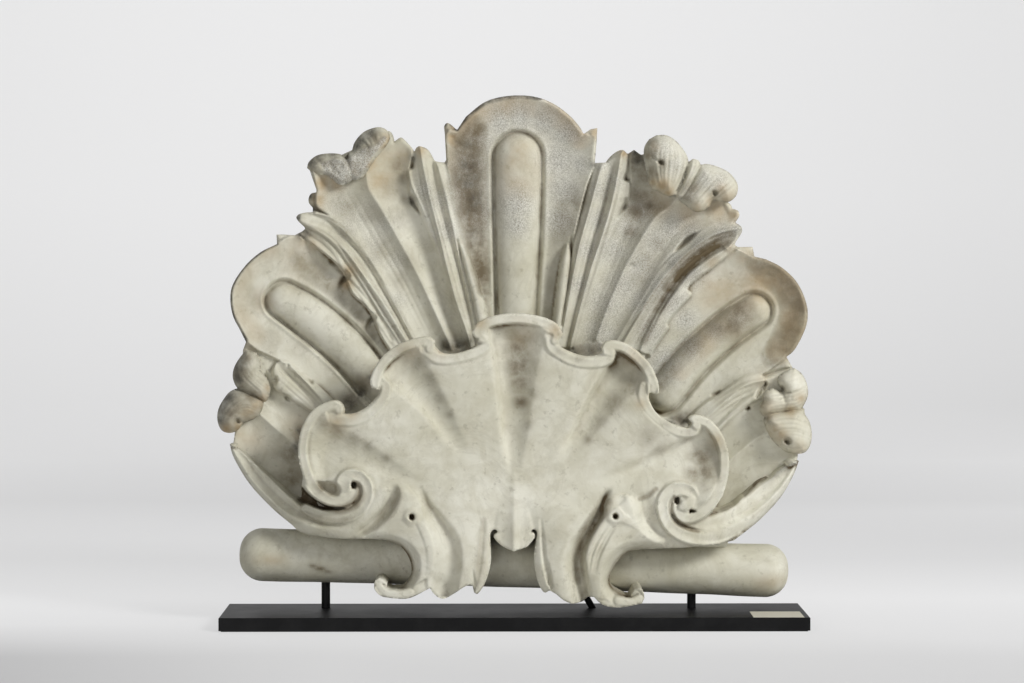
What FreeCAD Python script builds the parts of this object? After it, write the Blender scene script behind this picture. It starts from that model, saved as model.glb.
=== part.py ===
"""Carved marble holy water stoup on a steel display stand.

The marble is a fan of three gadrooned lobes between acanthus leaves, with a scalloped
basin in front of it and a round roll under it. It stands on two steel pins and an
oblique prop. Millimetres, +Z up, the face towards -Y, origin under the plate's middle.
"""

import FreeCAD
import Part
import Sketcher
import math
import os
import re
from FreeCAD import Placement, Rotation, Vector

SIZES = {
    # stand
    "felt_thick": 1.5,
    "felt_inset": 3.0,
    "plate_width": 860.0,
    "plate_depth": 150.0,
    "plate_thick": 19.0,
    "plate_bevel": 0.8,
    "pin_dia": 13.0,
    "pin_bevel": 1.0,
    "left_pin_inset": 128.0,
    "right_pin_inset": 144.0,
    "pin_back": 29.0,
    "pin_entry": 45.0,
    "bore_gap": 0.5,
    "seat_gap": 0.3,
    "screw_dia": 8.0,
    "screw_grip": 16.0,
    "screw_gap": 0.1,
    "screw_sink": 0.5,
    "head_dia": 16.0,
    "socket_width": 5.0,
    "socket_deep": 2.8,
    "prop_dia": 10.0,
    "prop_foot": 117.0,
    "prop_lean": 30.0,
    "prop_sink": 12.0,
    "card_width": 74.0,
    "card_depth": 58.0,
    "card_thick": 0.4,
    "card_side": 8.5,
    "card_front": 1.5,
    # roll
    "roll_height": 88.5,
    "roll_length": 818.0,
    "roll_end_dia": 81.0,
    "roll_waist_dia": 74.0,
    "roll_round": 34.0,
    "roll_fall": 1.88,
    # fan
    "fan_width": 850.9,
    "fan_back": 70.0,
    "fan_front": -6.0,
    "fan_floor": 46.0,
    "fan_bowl_radius": 2433.0,
    "leaf_lift": 4.0,
    "leaf_bowl_radius": 1620.0,
    "lobe_lift": 10.0,
    "curl_back": 8.0,
    "eye_dia": 7.0,
    "eye_deep": 12.0,
    # basin
    "basin_width": 623.3,
    "basin_lift": 11.5,
    "basin_front": 77.0,
    "basin_floor": 59.5,
    "basin_back": 28.0,
    "basin_bowl_radius": 6500.0,
    "belly_radius": 1000.0,
    "rim_width": 13.0,
    "volute_dia": 48.0,
    "volute_front": 75.0,
    "volute_eye_dia": 6.0,
    "volute_eye_deep": 20.0,
    "keel_dia": 18.0,
    "keel_head": 64.0,
    "keel_foot": 78.0,
    # brackets
    "leaf_front": 84.0,
    "drill_dia": 9.0,
    "drill_deep": 20.0,
}
"""Driving dimensions, millimetres and degrees."""

CENTRE_COLUMN = 514
ROLL_ROW = 563
"""The setting-out grid's column on the centre line, and its row on the roll's axis, downwards."""
FAN_COLUMNS = 573
BASIN_COLUMNS = 429
"""How many of the grid's columns the fan's width and the basin's width cover."""

SKETCH_START = 100.0
"""Radius on which a sketch's corners are laid out before the sheet places them."""
NEARLY_NOTHING = 1e-6
"""Shorter than this, a closing stretch of an outline is left out."""

# Outlines on the grid. Each stretch goes on from the last point: one more point is a
# straight edge, and two are an arc through the first to the second.
FAN_START = (300, 550)
FAN_EDGE = [
    [(255, 505), (229, 443)],  # lower left leaf
    [(236, 428)],
    [(243, 343)],
    [(231, 290), (275, 245)],  # left lobe
    [(276, 236)],
    [(304, 238)],
    [(296, 225)],
    [(310, 212)],
    [(307, 198)],
    [(318, 180)],
    [(332, 160), (352, 152)],
    [(370, 138), (393, 141)],
    [(411, 151)],
    [(418, 146)],
    [(443, 163)],
    [(444, 125)],
    [(457, 131)],
    [(515, 95), (582, 132)],  # middle lobe
    [(597, 127)],
    [(593, 161)],
    [(612, 151)],
    [(628, 155)],
    [(643, 155)],
    [(668, 160)],
    [(712, 190)],
    [(735, 213)],
    [(742, 230)],
    [(733, 246)],
    [(751, 246)],
    [(754, 257)],
    [(804, 303), (786, 357)],  # right lobe
    [(793, 367)],
    [(792, 452)],
    [(798, 456)],
    [(784, 500), (745, 550)],  # lower right leaf
]

BASIN_START = (515, 552)
BASIN_EDGE = [
    [(497, 541)],
    [(458, 522), (411, 492)],
    [(365, 478)],
    [(340, 507)],
    [(306, 485), (299, 440)],  # left lobe
    [(308, 408), (335, 401)],
    [(344, 412)],
    [(372, 400)],
    [(372, 378)],
    [(387, 347), (424, 337)],  # upper left lobe
    [(436, 351)],
    [(470, 347)],
    [(474, 330)],
    [(518, 313), (560, 333)],  # middle lobe
    [(566, 350)],
    [(592, 356)],
    [(602, 342)],
    [(643, 354), (658, 392)],  # upper right lobe
    [(664, 410)],
    [(688, 424)],
    [(700, 416)],
    [(727, 457), (706, 513)],  # right lobe
    [(679, 517)],
    [(660, 484)],
    [(622, 496)],
    [(575, 522), (532, 541)],
]

FLOOR_START = (318, 500)
FLOOR_EDGE = [
    [(312, 440)],
    [(330, 426)],
    [(346, 452)],
    [(515, 474), (682, 460)],  # bottom of the water, between basin and fan
    [(700, 438)],
    [(715, 450)],
    [(710, 505)],
    [(670, 540)],
    [(370, 540)],
]

LEFT_BRACKET_START = (374, 490)
LEFT_BRACKET_EDGE = [
    [(395, 486)],
    [(411, 496)],
    [(430, 505)],
    [(455, 530)],
    [(493, 552)],
    [(491, 582)],
    [(478, 592)],
    [(447, 598)],
    [(426, 588)],
    [(405, 600)],
    [(376, 584)],
    [(396, 572)],
    [(402, 558), (384, 546)],
    [(345, 541)],
    [(304, 534)],
    [(255, 499), (225, 448)],  # long leaf that sweeps out to the side
    [(238, 452)],
    [(275, 488), (320, 513)],
    [(345, 507)],
]

RIGHT_BRACKET_START = (655, 499)
RIGHT_BRACKET_EDGE = [
    [(632, 496)],
    [(612, 504)],
    [(586, 520)],
    [(565, 540)],
    [(535, 552)],
    [(537, 582)],
    [(545, 592)],
    [(570, 606)],
    [(592, 592)],
    [(612, 606)],
    [(635, 607)],
    [(644, 591)],
    [(622, 578)],
    [(616, 562), (632, 550)],
    [(690, 550)],
    [(728, 541)],
    [(774, 508), (805, 465)],  # long leaf that sweeps out to the side
    [(791, 470)],
    [(758, 491), (716, 515)],
    [(690, 518)],
]

LOBES = {
    "middle": [(478, 350), [(458, 244)], [(445, 160)], [(440, 90)], [(600, 90)], [(595, 163)], [(576, 231)],
               [(556, 350)]],
    "left": [(402, 355), [(345, 277)], [(318, 248)], [(300, 236)], [(276, 225)], [(215, 225)], [(215, 341)],
             [(243, 341)], [(270, 349)], [(345, 412)]],
    "right": [(640, 400), [(651, 352)], [(667, 325)], [(690, 287)], [(728, 254)], [(745, 240)], [(825, 240)],
              [(825, 357)], [(786, 357)], [(764, 374)], [(704, 400)], [(660, 432)]],
}
"""The ground of each lobe, which lies lower than the leaves beside it: its start and its edge."""

# Bars on the fan and hollows in it run from a head to a foot. They are so many squares across
# there, and their fronts or floors stand so many millimetres in front of the fan's bowl.
GADROONS = {
    "middle": {"ends": [(517, 160), (516, 330)], "across": (44, 36), "height": (10, 10)},
    "left": {"ends": [(286, 302), (378, 386)], "across": (37, 35), "height": (8, 8)},
    "right": {"ends": [(752, 312), (664, 392)], "across": (33, 35), "height": (8, 8)},
}

GROUNDS = {
    "middle": {"ends": [(516, 168), (516, 340)], "across": (400, 380), "height": (-8, -8)},
    "left": {"ends": [(284, 298), (375, 375)], "across": (226, 220), "height": (-9, -9)},
    "right": {"ends": [(755, 307), (665, 385)], "across": (216, 210), "height": (-9, -9)},
}
"""The hollow round each gadroon."""

RIBS = {
    "left_leaf_high": {"ends": [(424, 168), (470, 335)], "across": (17, 12), "height": (24, 15)},
    "left_leaf_low": {"ends": [(440, 175), (479, 335)], "across": (12, 9), "height": (17, 12)},
    "left_frond_high": {"ends": [(317, 216), (420, 348)], "across": (16, 10), "height": (17, 9)},
    "left_frond_low": {"ends": [(316, 230), (412, 350)], "across": (14, 10), "height": (18, 10)},
    "left_small_leaf": {"ends": [(290, 368), (330, 410)], "across": (14, 12), "height": (15, 11)},
    "right_leaf_high": {"ends": [(600, 176), (562, 335)], "across": (15, 12), "height": (21, 14)},
    "right_leaf_low": {"ends": [(619, 170), (573, 335)], "across": (17, 12), "height": (22, 12)},
    "right_frond_high": {"ends": [(724, 232), (626, 340)], "across": (16, 10), "height": (22, 12)},
    "right_frond_low": {"ends": [(722, 251), (645, 342)], "across": (15, 10), "height": (17, 9)},
    "right_small_leaf": {"ends": [(757, 383), (700, 425)], "across": (14, 12), "height": (15, 9)},
}
"""The leaves' ribs."""

FLUTES = {
    "left_outer": {"ends": [(339, 165), (436, 350)], "across": (60, 27), "height": (4, -7)},
    "left_inner": {"ends": [(389, 162), (457, 343)], "across": (53, 16), "height": (0, -6)},
    "left_upper": {"ends": [(255, 388), (320, 442)], "across": (44, 48), "height": (-5, -14)},
    "left_lower": {"ends": [(240, 418), (310, 488)], "across": (54, 100), "height": (-3, -20)},
    "right_inner": {"ends": [(655, 180), (587, 340)], "across": (64, 21), "height": (-4, -5)},
    "right_outer": {"ends": [(708, 196), (606, 342)], "across": (80, 16), "height": (-1, -6)},
    "right_upper": {"ends": [(782, 409), (712, 458)], "across": (56, 46), "height": (-6, -14)},
    "right_lower": {"ends": [(798, 438), (720, 498)], "across": (43, 100), "height": (-2, -18)},
}
"""The broad flutes between the leaves."""

CURLS = {
    "upper_left_curl": [
        {"ends": [(361, 152), (381, 142)], "across": 34},
        {"ends": [(322, 174), (346, 161)], "across": 32},
    ],
    "upper_right_curl": [
        {"ends": [(666, 158), (668, 172)], "across": 46, "eye": (661, 162)},
        {"ends": [(703, 187), (715, 189)], "across": 46, "eye": (715, 193)},
    ],
    "left_curl": [
        {"ends": [(255, 373)], "across": 44, "eye": (257, 373)},
        {"ends": [(240, 408)], "across": 45, "eye": (238, 422)},
    ],
    "right_curl": [
        {"ends": [(786, 391)], "across": 48, "eye": (783, 390)},
        {"ends": [(787, 430)], "across": 50, "eye": (788, 442)},
    ],
}
"""Each curl's two knobs: a ball, or a bar with two round ends, with its thickness in squares."""

FAN_MIDDLE = (514, 330)
BASIN_MIDDLE = (514, 490)
BELLY_ROW = 430
"""Where the hollows of the fan and of the basin are deepest, and where the basin's foot starts to swell."""

SCALLOPS = {
    "left": {"ends": [(292, 455), (440, 484)], "across": (160, 60), "height": (-9, 2)},
    "upper_left": {"ends": [(396, 352), (462, 452)], "across": (66, 26), "height": (-9, 2)},
    "middle": {"ends": [(518, 322), (515, 458)], "across": (92, 36), "height": (-11, 2)},
    "upper_right": {"ends": [(628, 362), (568, 456)], "across": (68, 26), "height": (-9, 2)},
    "right": {"ends": [(730, 456), (600, 484)], "across": (150, 56), "height": (-10, 2)},
}
"""The hollow flutes of the basin, one under each lobe, set out as the fan's are."""

FOOT_START = (374, 474)
FOOT_EDGE = [[(660, 474)], [(660, 560)], [(374, 560)]]
"""The basin's foot, which has no rim."""

VOLUTES = [(350, 485), (680, 502)]
"""The round ends in which the rim rolls up."""

KEEL = [(514, 465), (514, 545)]
"""The upper and lower end of the basin's middle ridge."""

BRACKET_SIDE = [(0.83, 440), (0.85, 490), (0.94, 515), (1.0, 545), (0.92, 572), (0.74, 600), (0.6, 610),
                (0.0, 610)]
"""The brackets from the side: how far each row stands out, from the roll's front to the leaves' front."""
BRACKET_PLAN = [(292, 0.14), (258, 0.26), (240, 0.37), (220, 0.5), (200, 0.64), (180, 0.77), (158, 0.88),
                (130, 1.0)]
"""The brackets from above: how far they stand out at so many squares from the middle, as a share."""

DRILLS = {"left_bracket": (410, 516), "right_bracket": (615, 516)}
"""The drilled eye at the head of each bracket's leaves."""

FORWARD = Vector(0, -1, 0)
AWAY = Rotation(Vector(1, 0, 0), 90)
"""Towards the front, as a direction and as the turn of an upright cylinder."""

doc = FreeCAD.newDocument("HolyWaterStoup")
pieces = {}
sheet = doc.addObject("Spreadsheet::Sheet", "Sizes")
for row, (alias, value) in enumerate(SIZES.items(), start=1):
    sheet.set(f"A{row}", alias.replace("_", " "))
    sheet.set(f"B{row}", str(value))
    sheet.setAlias(f"B{row}", alias)
doc.recompute()


def size(alias):
    """A driving dimension as the sheet holds it."""
    return float(sheet.get(alias))


def bind(thing, **formulas):
    """Bind properties of an object to formulas of the sheet's sizes; x, y and z are its place."""
    for name, formula in formulas.items():
        prop = f"Placement.Base.{name}" if name in "xyz" else name
        thing.setExpression(prop, re.sub(r"\b[a-z]+_[a-z_]+\b", r"Sizes.\g<0>", formula))
    return thing


def make(kind, name, **formulas):
    """A new object of the document, bound to the sheet."""
    return bind(doc.addObject(kind, name), **formulas)


def fuse(name, shapes):
    """One solid of several."""
    joined = doc.addObject("Part::MultiFuse", name)
    joined.Shapes = shapes
    return joined


def common(name, shapes):
    """What several solids share."""
    shared = doc.addObject("Part::MultiCommon", name)
    shared.Shapes = shapes
    return shared


def cut(name, base, *tools):
    """A solid less some others."""
    for number, tool in enumerate(tools):
        less = doc.addObject("Part::Cut", f"{name}_{number}")
        less.Base = base
        less.Tool = tool
        base = less
    return base


def named(label, thing):
    """Mark an object as a finished piece."""
    thing.Label = label
    pieces[label] = thing
    return thing


def draw(body, name, role, corners):
    """A closed sketch on a plane of the body, with every corner bound to the sheet."""
    sketch = body.newObject("Sketcher::SketchObject", name)
    plane = next(item for item in body.Origin.OriginFeatures if item.Role == role)
    sketch.AttachmentSupport = [(plane, "")]
    sketch.MapMode = "FlatFace"
    count = len(corners)
    turns = [2 * math.pi * index / count for index in range(count)]
    start = [Vector(math.cos(turn), math.sin(turn), 0) * SKETCH_START for turn in turns]
    for index in range(count):
        sketch.addGeometry(Part.LineSegment(start[index], start[(index + 1) % count]), False)
    for index in range(count):
        sketch.addConstraint(Sketcher.Constraint("Coincident", index, 2, (index + 1) % count, 1))
    for index, corner in enumerate(corners):
        for axis, formula in zip("XY", corner):
            rule = Sketcher.Constraint(f"Distance{axis}", -1, 1, index, 1, start[index][axis == "Y"])
            number = sketch.addConstraint(rule)
            bind(sketch, **{f"Constraints[{number}]": formula})
    return sketch


def turned(name, axis, corners):
    """A body turned from a half profile about the sketch's H_Axis or V_Axis."""
    body = doc.addObject("PartDesign::Body", name)
    profile = draw(body, f"{name}_profile", "XZ_Plane", corners)
    turn = body.newObject("PartDesign::Revolution", f"{name}_turn")
    turn.Profile = profile
    turn.ReferenceAxis = (profile, [axis])
    turn.Angle = 360.0
    return body


def padded(name, corners, height):
    """A body raised from a drawing of its plan."""
    body = doc.addObject("PartDesign::Body", name)
    plan = draw(body, f"{name}_plan", "XY_Plane", corners)
    pad = body.newObject("PartDesign::Pad", f"{name}_pad")
    pad.Profile = plan
    bind(pad, Length=height)
    return body


def plan_corners(width, depth):
    """The corners of a plan that is centred on the origin."""
    sides = [("-", "-"), ("+", "-"), ("+", "+"), ("-", "+")]
    return [(f"{x}({width}) / 2", f"{y}({depth}) / 2") for x, y in sides]


def bevel(body, name, width, chosen):
    """Bevel the edges of a body that a test chooses."""
    doc.recompute()
    base = body.Tip
    edges = [f"Edge{n}" for n, edge in enumerate(base.Shape.Edges, start=1) if chosen(edge)]
    chamfer = body.newObject("PartDesign::Chamfer", name)
    chamfer.Base = (base, edges)
    bind(chamfer, Size=width)


# ---- stand ----

PLATE_TOP = "felt_thick + plate_thick"
PINS = {"left": "(left_pin_inset - roll_length / 2)", "right": "(roll_length / 2 - right_pin_inset)"}
"""Each pin's place along the plate, set in from the roll's end."""


def pin_top(side):
    """Height of a pin's top: its entry above the roll's underside, which falls to the right."""
    return f"roll_height - {PINS[side]} * tan(roll_fall) - roll_end_dia / 2 + pin_entry"


def make_felt():
    """Felt sheet glued under the plate."""
    corners = plan_corners("plate_width - 2 * felt_inset", "plate_depth - 2 * felt_inset")
    return padded("Felt", corners, "felt_thick")


def make_screw(side):
    """Countersunk screw that holds a pin from below, with its hexagon socket."""
    place = {"x": PINS[side], "y": "pin_back"}
    low = "felt_thick + screw_sink"
    head = make("Part::Cone", f"{side}_head", Radius1="head_dia / 2", Radius2="screw_dia / 2",
                Height="(head_dia - screw_dia) / 2", z=low, **place)
    shank = make("Part::Cylinder", f"{side}_shank", Radius="screw_dia / 2",
                 Height="plate_thick - screw_sink + screw_grip", z=low, **place)
    socket = make("Part::Prism", f"{side}_socket", Circumradius="socket_width / sqrt(3)",
                  Height="socket_deep", z=low, **place)
    return cut(f"{side}_screw", fuse(f"{side}_screw_blank", [head, shank]), socket)


def make_screw_hole(side):
    """The screw's clearance in the plate, coned to its head."""
    place = {"x": PINS[side], "y": "pin_back"}
    sunk = make("Part::Cylinder", f"{side}_mouth", Radius="head_dia / 2",
                Height="screw_sink", z="felt_thick", **place)
    cone = make("Part::Cone", f"{side}_sink", Radius1="head_dia / 2", Radius2="screw_dia / 2",
                Height="(head_dia - screw_dia) / 2", z="felt_thick + screw_sink", **place)
    hole = make("Part::Cylinder", f"{side}_hole", Radius="screw_dia / 2 + screw_gap",
                Height="plate_thick", z="felt_thick", **place)
    return fuse(f"{side}_screw_hole", [sunk, cone, hole])


def make_pin(side):
    """Upright pin, bored for its screw and bevelled at its top."""
    height = f"{pin_top(side)} - ({PLATE_TOP})"
    bore = "screw_dia / 2 + screw_gap"
    bottom = "screw_grip + screw_gap"
    corners = [("0", bottom), (bore, bottom), (bore, "0"), ("pin_dia / 2", "0"),
               ("pin_dia / 2", f"{height} - pin_bevel"), ("pin_dia / 2 - pin_bevel", height),
               ("0", height)]
    pin = turned(f"{side.capitalize()}Pin", "V_Axis", corners)
    return bind(pin, x=PINS[side], y="pin_back", z=PLATE_TOP)


def make_prop_rod(name, grow):
    """Oblique rod that starts in the plate and leans towards the middle."""
    rod = make("Part::Cylinder", name, Radius=f"prop_dia / 2 + {grow}",
               Height="prop_sink + (roll_height - felt_thick - plate_thick) / cos(prop_lean)",
               x="prop_foot + prop_sink * sin(prop_lean)", y="pin_back",
               z=f"{PLATE_TOP} - prop_sink * cos(prop_lean)")
    rod.Placement = Placement(Vector(), Rotation(Vector(0, -1, 0), 1))
    return bind(rod, **{"Placement.Rotation.Angle": "prop_lean"})


def make_plate(holes):
    """Steel plate, bevelled along its top, with the holes under pins and prop."""
    blank = padded("Plate", plan_corners("plate_width", "plate_depth"), "plate_thick")
    top = size("plate_thick")
    bevel(blank, "Plate_bevel", "plate_bevel", lambda edge: edge.BoundBox.ZMin > top / 2)
    bind(blank, z="felt_thick")
    return cut("plate", blank, *holes)


def make_card():
    """Blank caption card that lies near the plate's right front corner."""
    return make("Part::Box", "Card", Length="card_width", Width="card_depth", Height="card_thick",
                x="plate_width / 2 - card_side - card_width", y="card_front - plate_depth / 2",
                z=PLATE_TOP)


# ---- roll ----

def make_roll(name, grow):
    """The round roll, waisted in the middle, with rounded ends, falling to the right."""
    half = f"(roll_length / 2 + {grow})"
    thick = f"(roll_end_dia / 2 + {grow})"
    waist = f"(roll_waist_dia / 2 + {grow})"
    roll = turned(name, "H_Axis", [(f"-{half}", "0"), (f"-{half}", thick), ("0", waist),
                                   (half, thick), (half, "0")])
    doc.recompute()
    base = roll.Tip
    edges = [f"Edge{n}" for n, edge in enumerate(base.Shape.Edges, start=1)
             if edge.Closed and edge.BoundBox.XLength < 1 and abs(edge.BoundBox.XMin) > 1]
    fillet = roll.newObject("PartDesign::Fillet", f"{name}_ends")
    fillet.Base = (base, edges)
    bind(fillet, Radius=f"roll_round + {grow}")
    roll.Placement = Placement(Vector(), Rotation(Vector(0, 1, 0), 1))
    return bind(roll, y="pin_back", z="roll_height", **{"Placement.Rotation.Angle": "roll_fall"})


def make_bore(side):
    """Blind bore for a pin, straight down whatever the roll's fall."""
    return make("Part::Cylinder", f"{side}_bore", Radius="pin_dia / 2 + bore_gap",
                Height=f"{pin_top(side)} + seat_gap", x=PINS[side], y="pin_back")


# ---- carving ----

def on_fan(column, row, depth=0.0):
    """A point of the fan's grid at a given depth."""
    unit = size("fan_width") / FAN_COLUMNS
    return Vector((column - CENTRE_COLUMN) * unit, depth, size("roll_height") + (ROLL_ROW - row) * unit)


def on_basin(column, row, depth=0.0):
    """A point of the basin's grid at a given depth."""
    unit = size("basin_width") / BASIN_COLUMNS
    middle = size("roll_height") + size("basin_lift")
    return Vector((column - CENTRE_COLUMN) * unit, depth, middle + (ROLL_ROW - row) * unit)


def outline(name, grid, start, edge, depth):
    """A flat face at a depth, from a start and stretches on a grid."""
    last = grid(*start, depth)
    lines = []
    for stretch in edge:
        points = [grid(*point, depth) for point in stretch]
        lines.append(Part.Arc(last, *points) if len(points) == 2 else Part.LineSegment(last, *points))
        last = points[-1]
    if last.distanceToPoint(grid(*start, depth)) > NEARLY_NOTHING:
        lines.append(Part.LineSegment(last, grid(*start, depth)))
    face = doc.addObject("Part::Feature", name)
    face.Shape = Part.Face(Part.Wire([line.toShape() for line in lines]))
    return face


def raised(name, face, length, direction=FORWARD):
    """A solid raised from a face, towards the front unless told otherwise."""
    block = doc.addObject("Part::Extrusion", name)
    block.Base = face
    block.DirMode = "Custom"
    block.Dir = direction
    block.Solid = True
    return bind(block, LengthFwd=length)


def bowl_depth(radius, floor, centre, point):
    """How deep a spherical hollow is at a point, where its floor lies at a depth."""
    across = math.hypot(point.x - centre.x, point.z - centre.z)
    return floor - radius + math.sqrt(radius ** 2 - across ** 2)


def bar(name, ends, diameters):
    """A round bar from end to end, with a ball on each end; one end alone makes a ball."""
    shapes = []
    for number, (end, diameter) in enumerate(zip(ends, diameters)):
        ball = make("Part::Sphere", f"{name}_ball_{number}", Radius=f"({diameter}) / 2")
        ball.Placement = Placement(end, Rotation())
        shapes.append(ball)
    if len(ends) == 2:
        along = ends[1] - ends[0]
        cone = make("Part::Cone", name, Radius1=f"({diameters[0]}) / 2", Radius2=f"({diameters[1]}) / 2")
        cone.Height = along.Length
        cone.Placement = Placement(ends[0], Rotation(Vector(0, 0, 1), along))
        shapes.append(cone)
    return shapes


def bowl_ball(name, centre, radius, floor):
    """The ball that hollows a bowl of a radius, with its floor at a depth."""
    ball = make("Part::Sphere", name, Radius=radius, y=f"{floor} - {radius}")
    ball.Placement.Base.z = centre.z
    return ball


def on_fan_bowl(column, row):
    """A point of the fan's grid on the floor of its bowl."""
    point = on_fan(column, row)
    point.y = bowl_depth(size("fan_bowl_radius"), size("fan_floor"), on_fan(*FAN_MIDDLE), point)
    return point


def on_basin_bowl(column, row):
    """A point of the basin's grid on the floor of its bowl."""
    point = on_basin(column, row)
    point.y = bowl_depth(size("basin_bowl_radius"), -size("basin_floor"), on_basin(*BASIN_MIDDLE), point)
    return point


def relief(name, plan, grid, width, columns, side):
    """A bar on a grid's bowl, in front of its line with side 1 and as a hollow's tool with side -1."""
    ends = []
    for place, across, height in zip(plan["ends"], plan["across"], plan["height"]):
        end = grid(*place)
        end.y += side * across * size(width) / columns / 2 - height
        ends.append(end)
    thicknesses = [f"{width} / {columns} * {across}" for across in plan["across"]]
    return fuse(f"{name}_bar", bar(name, ends, thicknesses))


def on_fan_all(plans, prefix, side):
    """The bars or hollows of a set on the fan."""
    return [relief(f"{prefix}_{name}", plan, on_fan_bowl, "fan_width", FAN_COLUMNS, side)
            for name, plan in plans.items()]


def make_fan():
    """The fan: a block hollowed like a bowl, with lobes and flutes sunk in it, and gadroons and ribs on it."""
    face = outline("fan_edge", on_fan, FAN_START, FAN_EDGE, size("fan_back"))
    block = raised("fan_block", face, "fan_back - fan_front")
    centre = on_fan(*FAN_MIDDLE)
    leaf_bowl = bowl_ball("leaf_bowl", centre, "leaf_bowl_radius", "(fan_floor - leaf_lift)")
    lobe_bowl = bowl_ball("lobe_bowl", centre, "fan_bowl_radius", "(fan_floor - lobe_lift)")
    sunk = [leaf_bowl]
    for (name, (start, *edge)), ground in zip(LOBES.items(), on_fan_all(GROUNDS, "ground", -1)):
        lobe = outline(f"{name}_lobe_edge", on_fan, start, edge, size("fan_back"))
        sides = raised(f"{name}_lobe_sides", lobe, "fan_back * 2")
        sunk.append(common(f"{name}_lobe", [sides, fuse(f"{name}_lobe_bowls", [lobe_bowl, ground])]))
    sunk += on_fan_all(FLUTES, "flute", -1)
    bars = on_fan_all(GADROONS, "gadroon", 1) + on_fan_all(RIBS, "rib", 1)
    proud = common("fan_relief", [fuse("fan_bars", bars), block])
    return fuse("fan_carved", [cut("fan_hollow", block, *sunk), proud])


def make_curl(name, knobs):
    """Two knobs side by side on the fan's edge, drilled with an eye each."""
    shapes = []
    eyes = []
    front = size("curl_back")
    for number, knob in enumerate(knobs):
        across = f"fan_width / {FAN_COLUMNS} * {knob['across']}"
        ends = [on_fan(*end, front) for end in knob["ends"]]
        shapes += bar(f"{name}_knob_{number}", ends, [across] * len(ends))
        if "eye" in knob:
            eye = make("Part::Cylinder", f"{name}_eye_{number}", Radius="eye_dia / 2", Height=across)
            eye.Placement = Placement(on_fan(*knob["eye"], front - size("eye_deep")), AWAY)
            eyes.append(eye)
    return cut(f"{name}_eyes", fuse(f"{name}_knobs", shapes), *eyes)


def make_volute(name, place):
    """A round end of the basin's rim, drilled in its middle."""
    disc = make("Part::Cylinder", name, Radius="volute_dia / 2", Height="volute_front - basin_back")
    disc.Placement = Placement(on_basin(*place, -size("basin_back")), AWAY)
    eye = make("Part::Cylinder", f"{name}_eye", Radius="volute_eye_dia / 2", Height="volute_front")
    eye.Placement = Placement(on_basin(*place, size("volute_eye_deep") - size("volute_front")), AWAY)
    return cut(f"{name}_drilled", disc, eye)


def make_basin():
    """The basin: a scalloped dish with a proud rim, joined to the fan under the water."""
    face = outline("basin_edge", on_basin, BASIN_START, BASIN_EDGE, -size("basin_back"))
    block = raised("basin_block", face, "basin_front - basin_back")
    inner = doc.addObject("Part::Feature", "basin_inner")
    inner.Shape = face.Shape.makeOffset2D(-size("rim_width"), 2)
    foot = outline("foot_edge", on_basin, FOOT_START, FOOT_EDGE, -size("basin_back"))
    scoop = fuse("basin_scoop", [raised("inner_scoop", inner, "basin_front"),
                                 raised("foot_scoop", foot, "basin_front")])
    bowl = bowl_ball("basin_bowl", on_basin(*BASIN_MIDDLE), "basin_bowl_radius", "-basin_floor")
    belly = make("Part::Cylinder", "belly", Radius="belly_radius", Height="basin_width",
                 x="-basin_width / 2", y="-basin_floor - belly_radius")
    belly.Placement.Rotation = Rotation(Vector(0, 1, 0), 90)
    belly.Placement.Base.z = on_basin(CENTRE_COLUMN, BELLY_ROW).z
    flutes = [relief(f"scallop_{name}", plan, on_basin_bowl, "basin_width", BASIN_COLUMNS, -1)
              for name, plan in SCALLOPS.items()]
    hollows = [common(f"scoop_{number}", [scoop, tool]) for number, tool in enumerate(flutes)]
    dish = cut("basin_dish", block, common("basin_hollow", [scoop, bowl, belly]), *hollows)
    ends = [on_basin(*end, size("keel_dia") / 2 - size(front)) for end, front in
            zip(KEEL, ("keel_head", "keel_foot"))]
    keel = fuse("keel_bar", bar("keel", ends, ["keel_dia"] * 2))
    volutes = [make_volute(f"volute_{number}", place) for number, place in enumerate(VOLUTES)]
    floor_face = outline("floor_edge", on_fan, FLOOR_START, FLOOR_EDGE, size("fan_floor"))
    floor = raised("water_floor", floor_face, "fan_floor + basin_back")
    return fuse("basin_joined", [dish, keel, floor, *volutes])


def bracket_spread(name, box):
    """The room that both brackets keep to from above, as high as a box."""
    unit = size("basin_width") / BASIN_COLUMNS
    right = [Vector(away * unit, -share * size("leaf_front"), box.ZMin) for away, share in BRACKET_PLAN]
    right.insert(0, Vector(right[0].x, 0, box.ZMin))
    left = [Vector(-point.x, point.y, point.z) for point in reversed(right)]
    plan = doc.addObject("Part::Feature", name)
    plan.Shape = Part.Face(Part.makePolygon(right + left + right[:1]))
    return raised(f"{name}_room", plan, str(box.ZLength), Vector(0, 0, 1))


def make_bracket(name, start, edge):
    """A volute with leaves that run over the roll and out to the side, thinner towards their ends."""
    face = outline(f"{name}_edge", on_basin, start, edge, 0.0)
    block = raised(f"{name}_block", face, "leaf_front")
    box = face.Shape.BoundBox
    front = -size("leaf_front")
    behind = size("pin_back") - size("roll_end_dia") / 2
    corners = [on_basin(CENTRE_COLUMN, line, behind + share * (front - behind))
               for share, line in BRACKET_SIDE]
    corners += [Vector(0, 0, corners[-1].z), Vector(0, 0, corners[0].z)]
    for corner in corners:
        corner.x = box.XMin
    side = doc.addObject("Part::Feature", f"{name}_side")
    side.Shape = Part.Face(Part.makePolygon(corners + corners[:1]))
    sweep = raised(f"{name}_sweep", side, str(box.XLength), Vector(1, 0, 0))
    spread = bracket_spread(f"{name}_plan", box)
    drill = make("Part::Cylinder", f"{name}_drill", Radius="drill_dia / 2", Height="leaf_front")
    drill.Placement = Placement(on_basin(*DRILLS[name], front + size("drill_deep")), AWAY)
    return cut(f"{name}_drilled", common(f"{name}_shaped", [block, sweep, spread]), drill)


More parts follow.
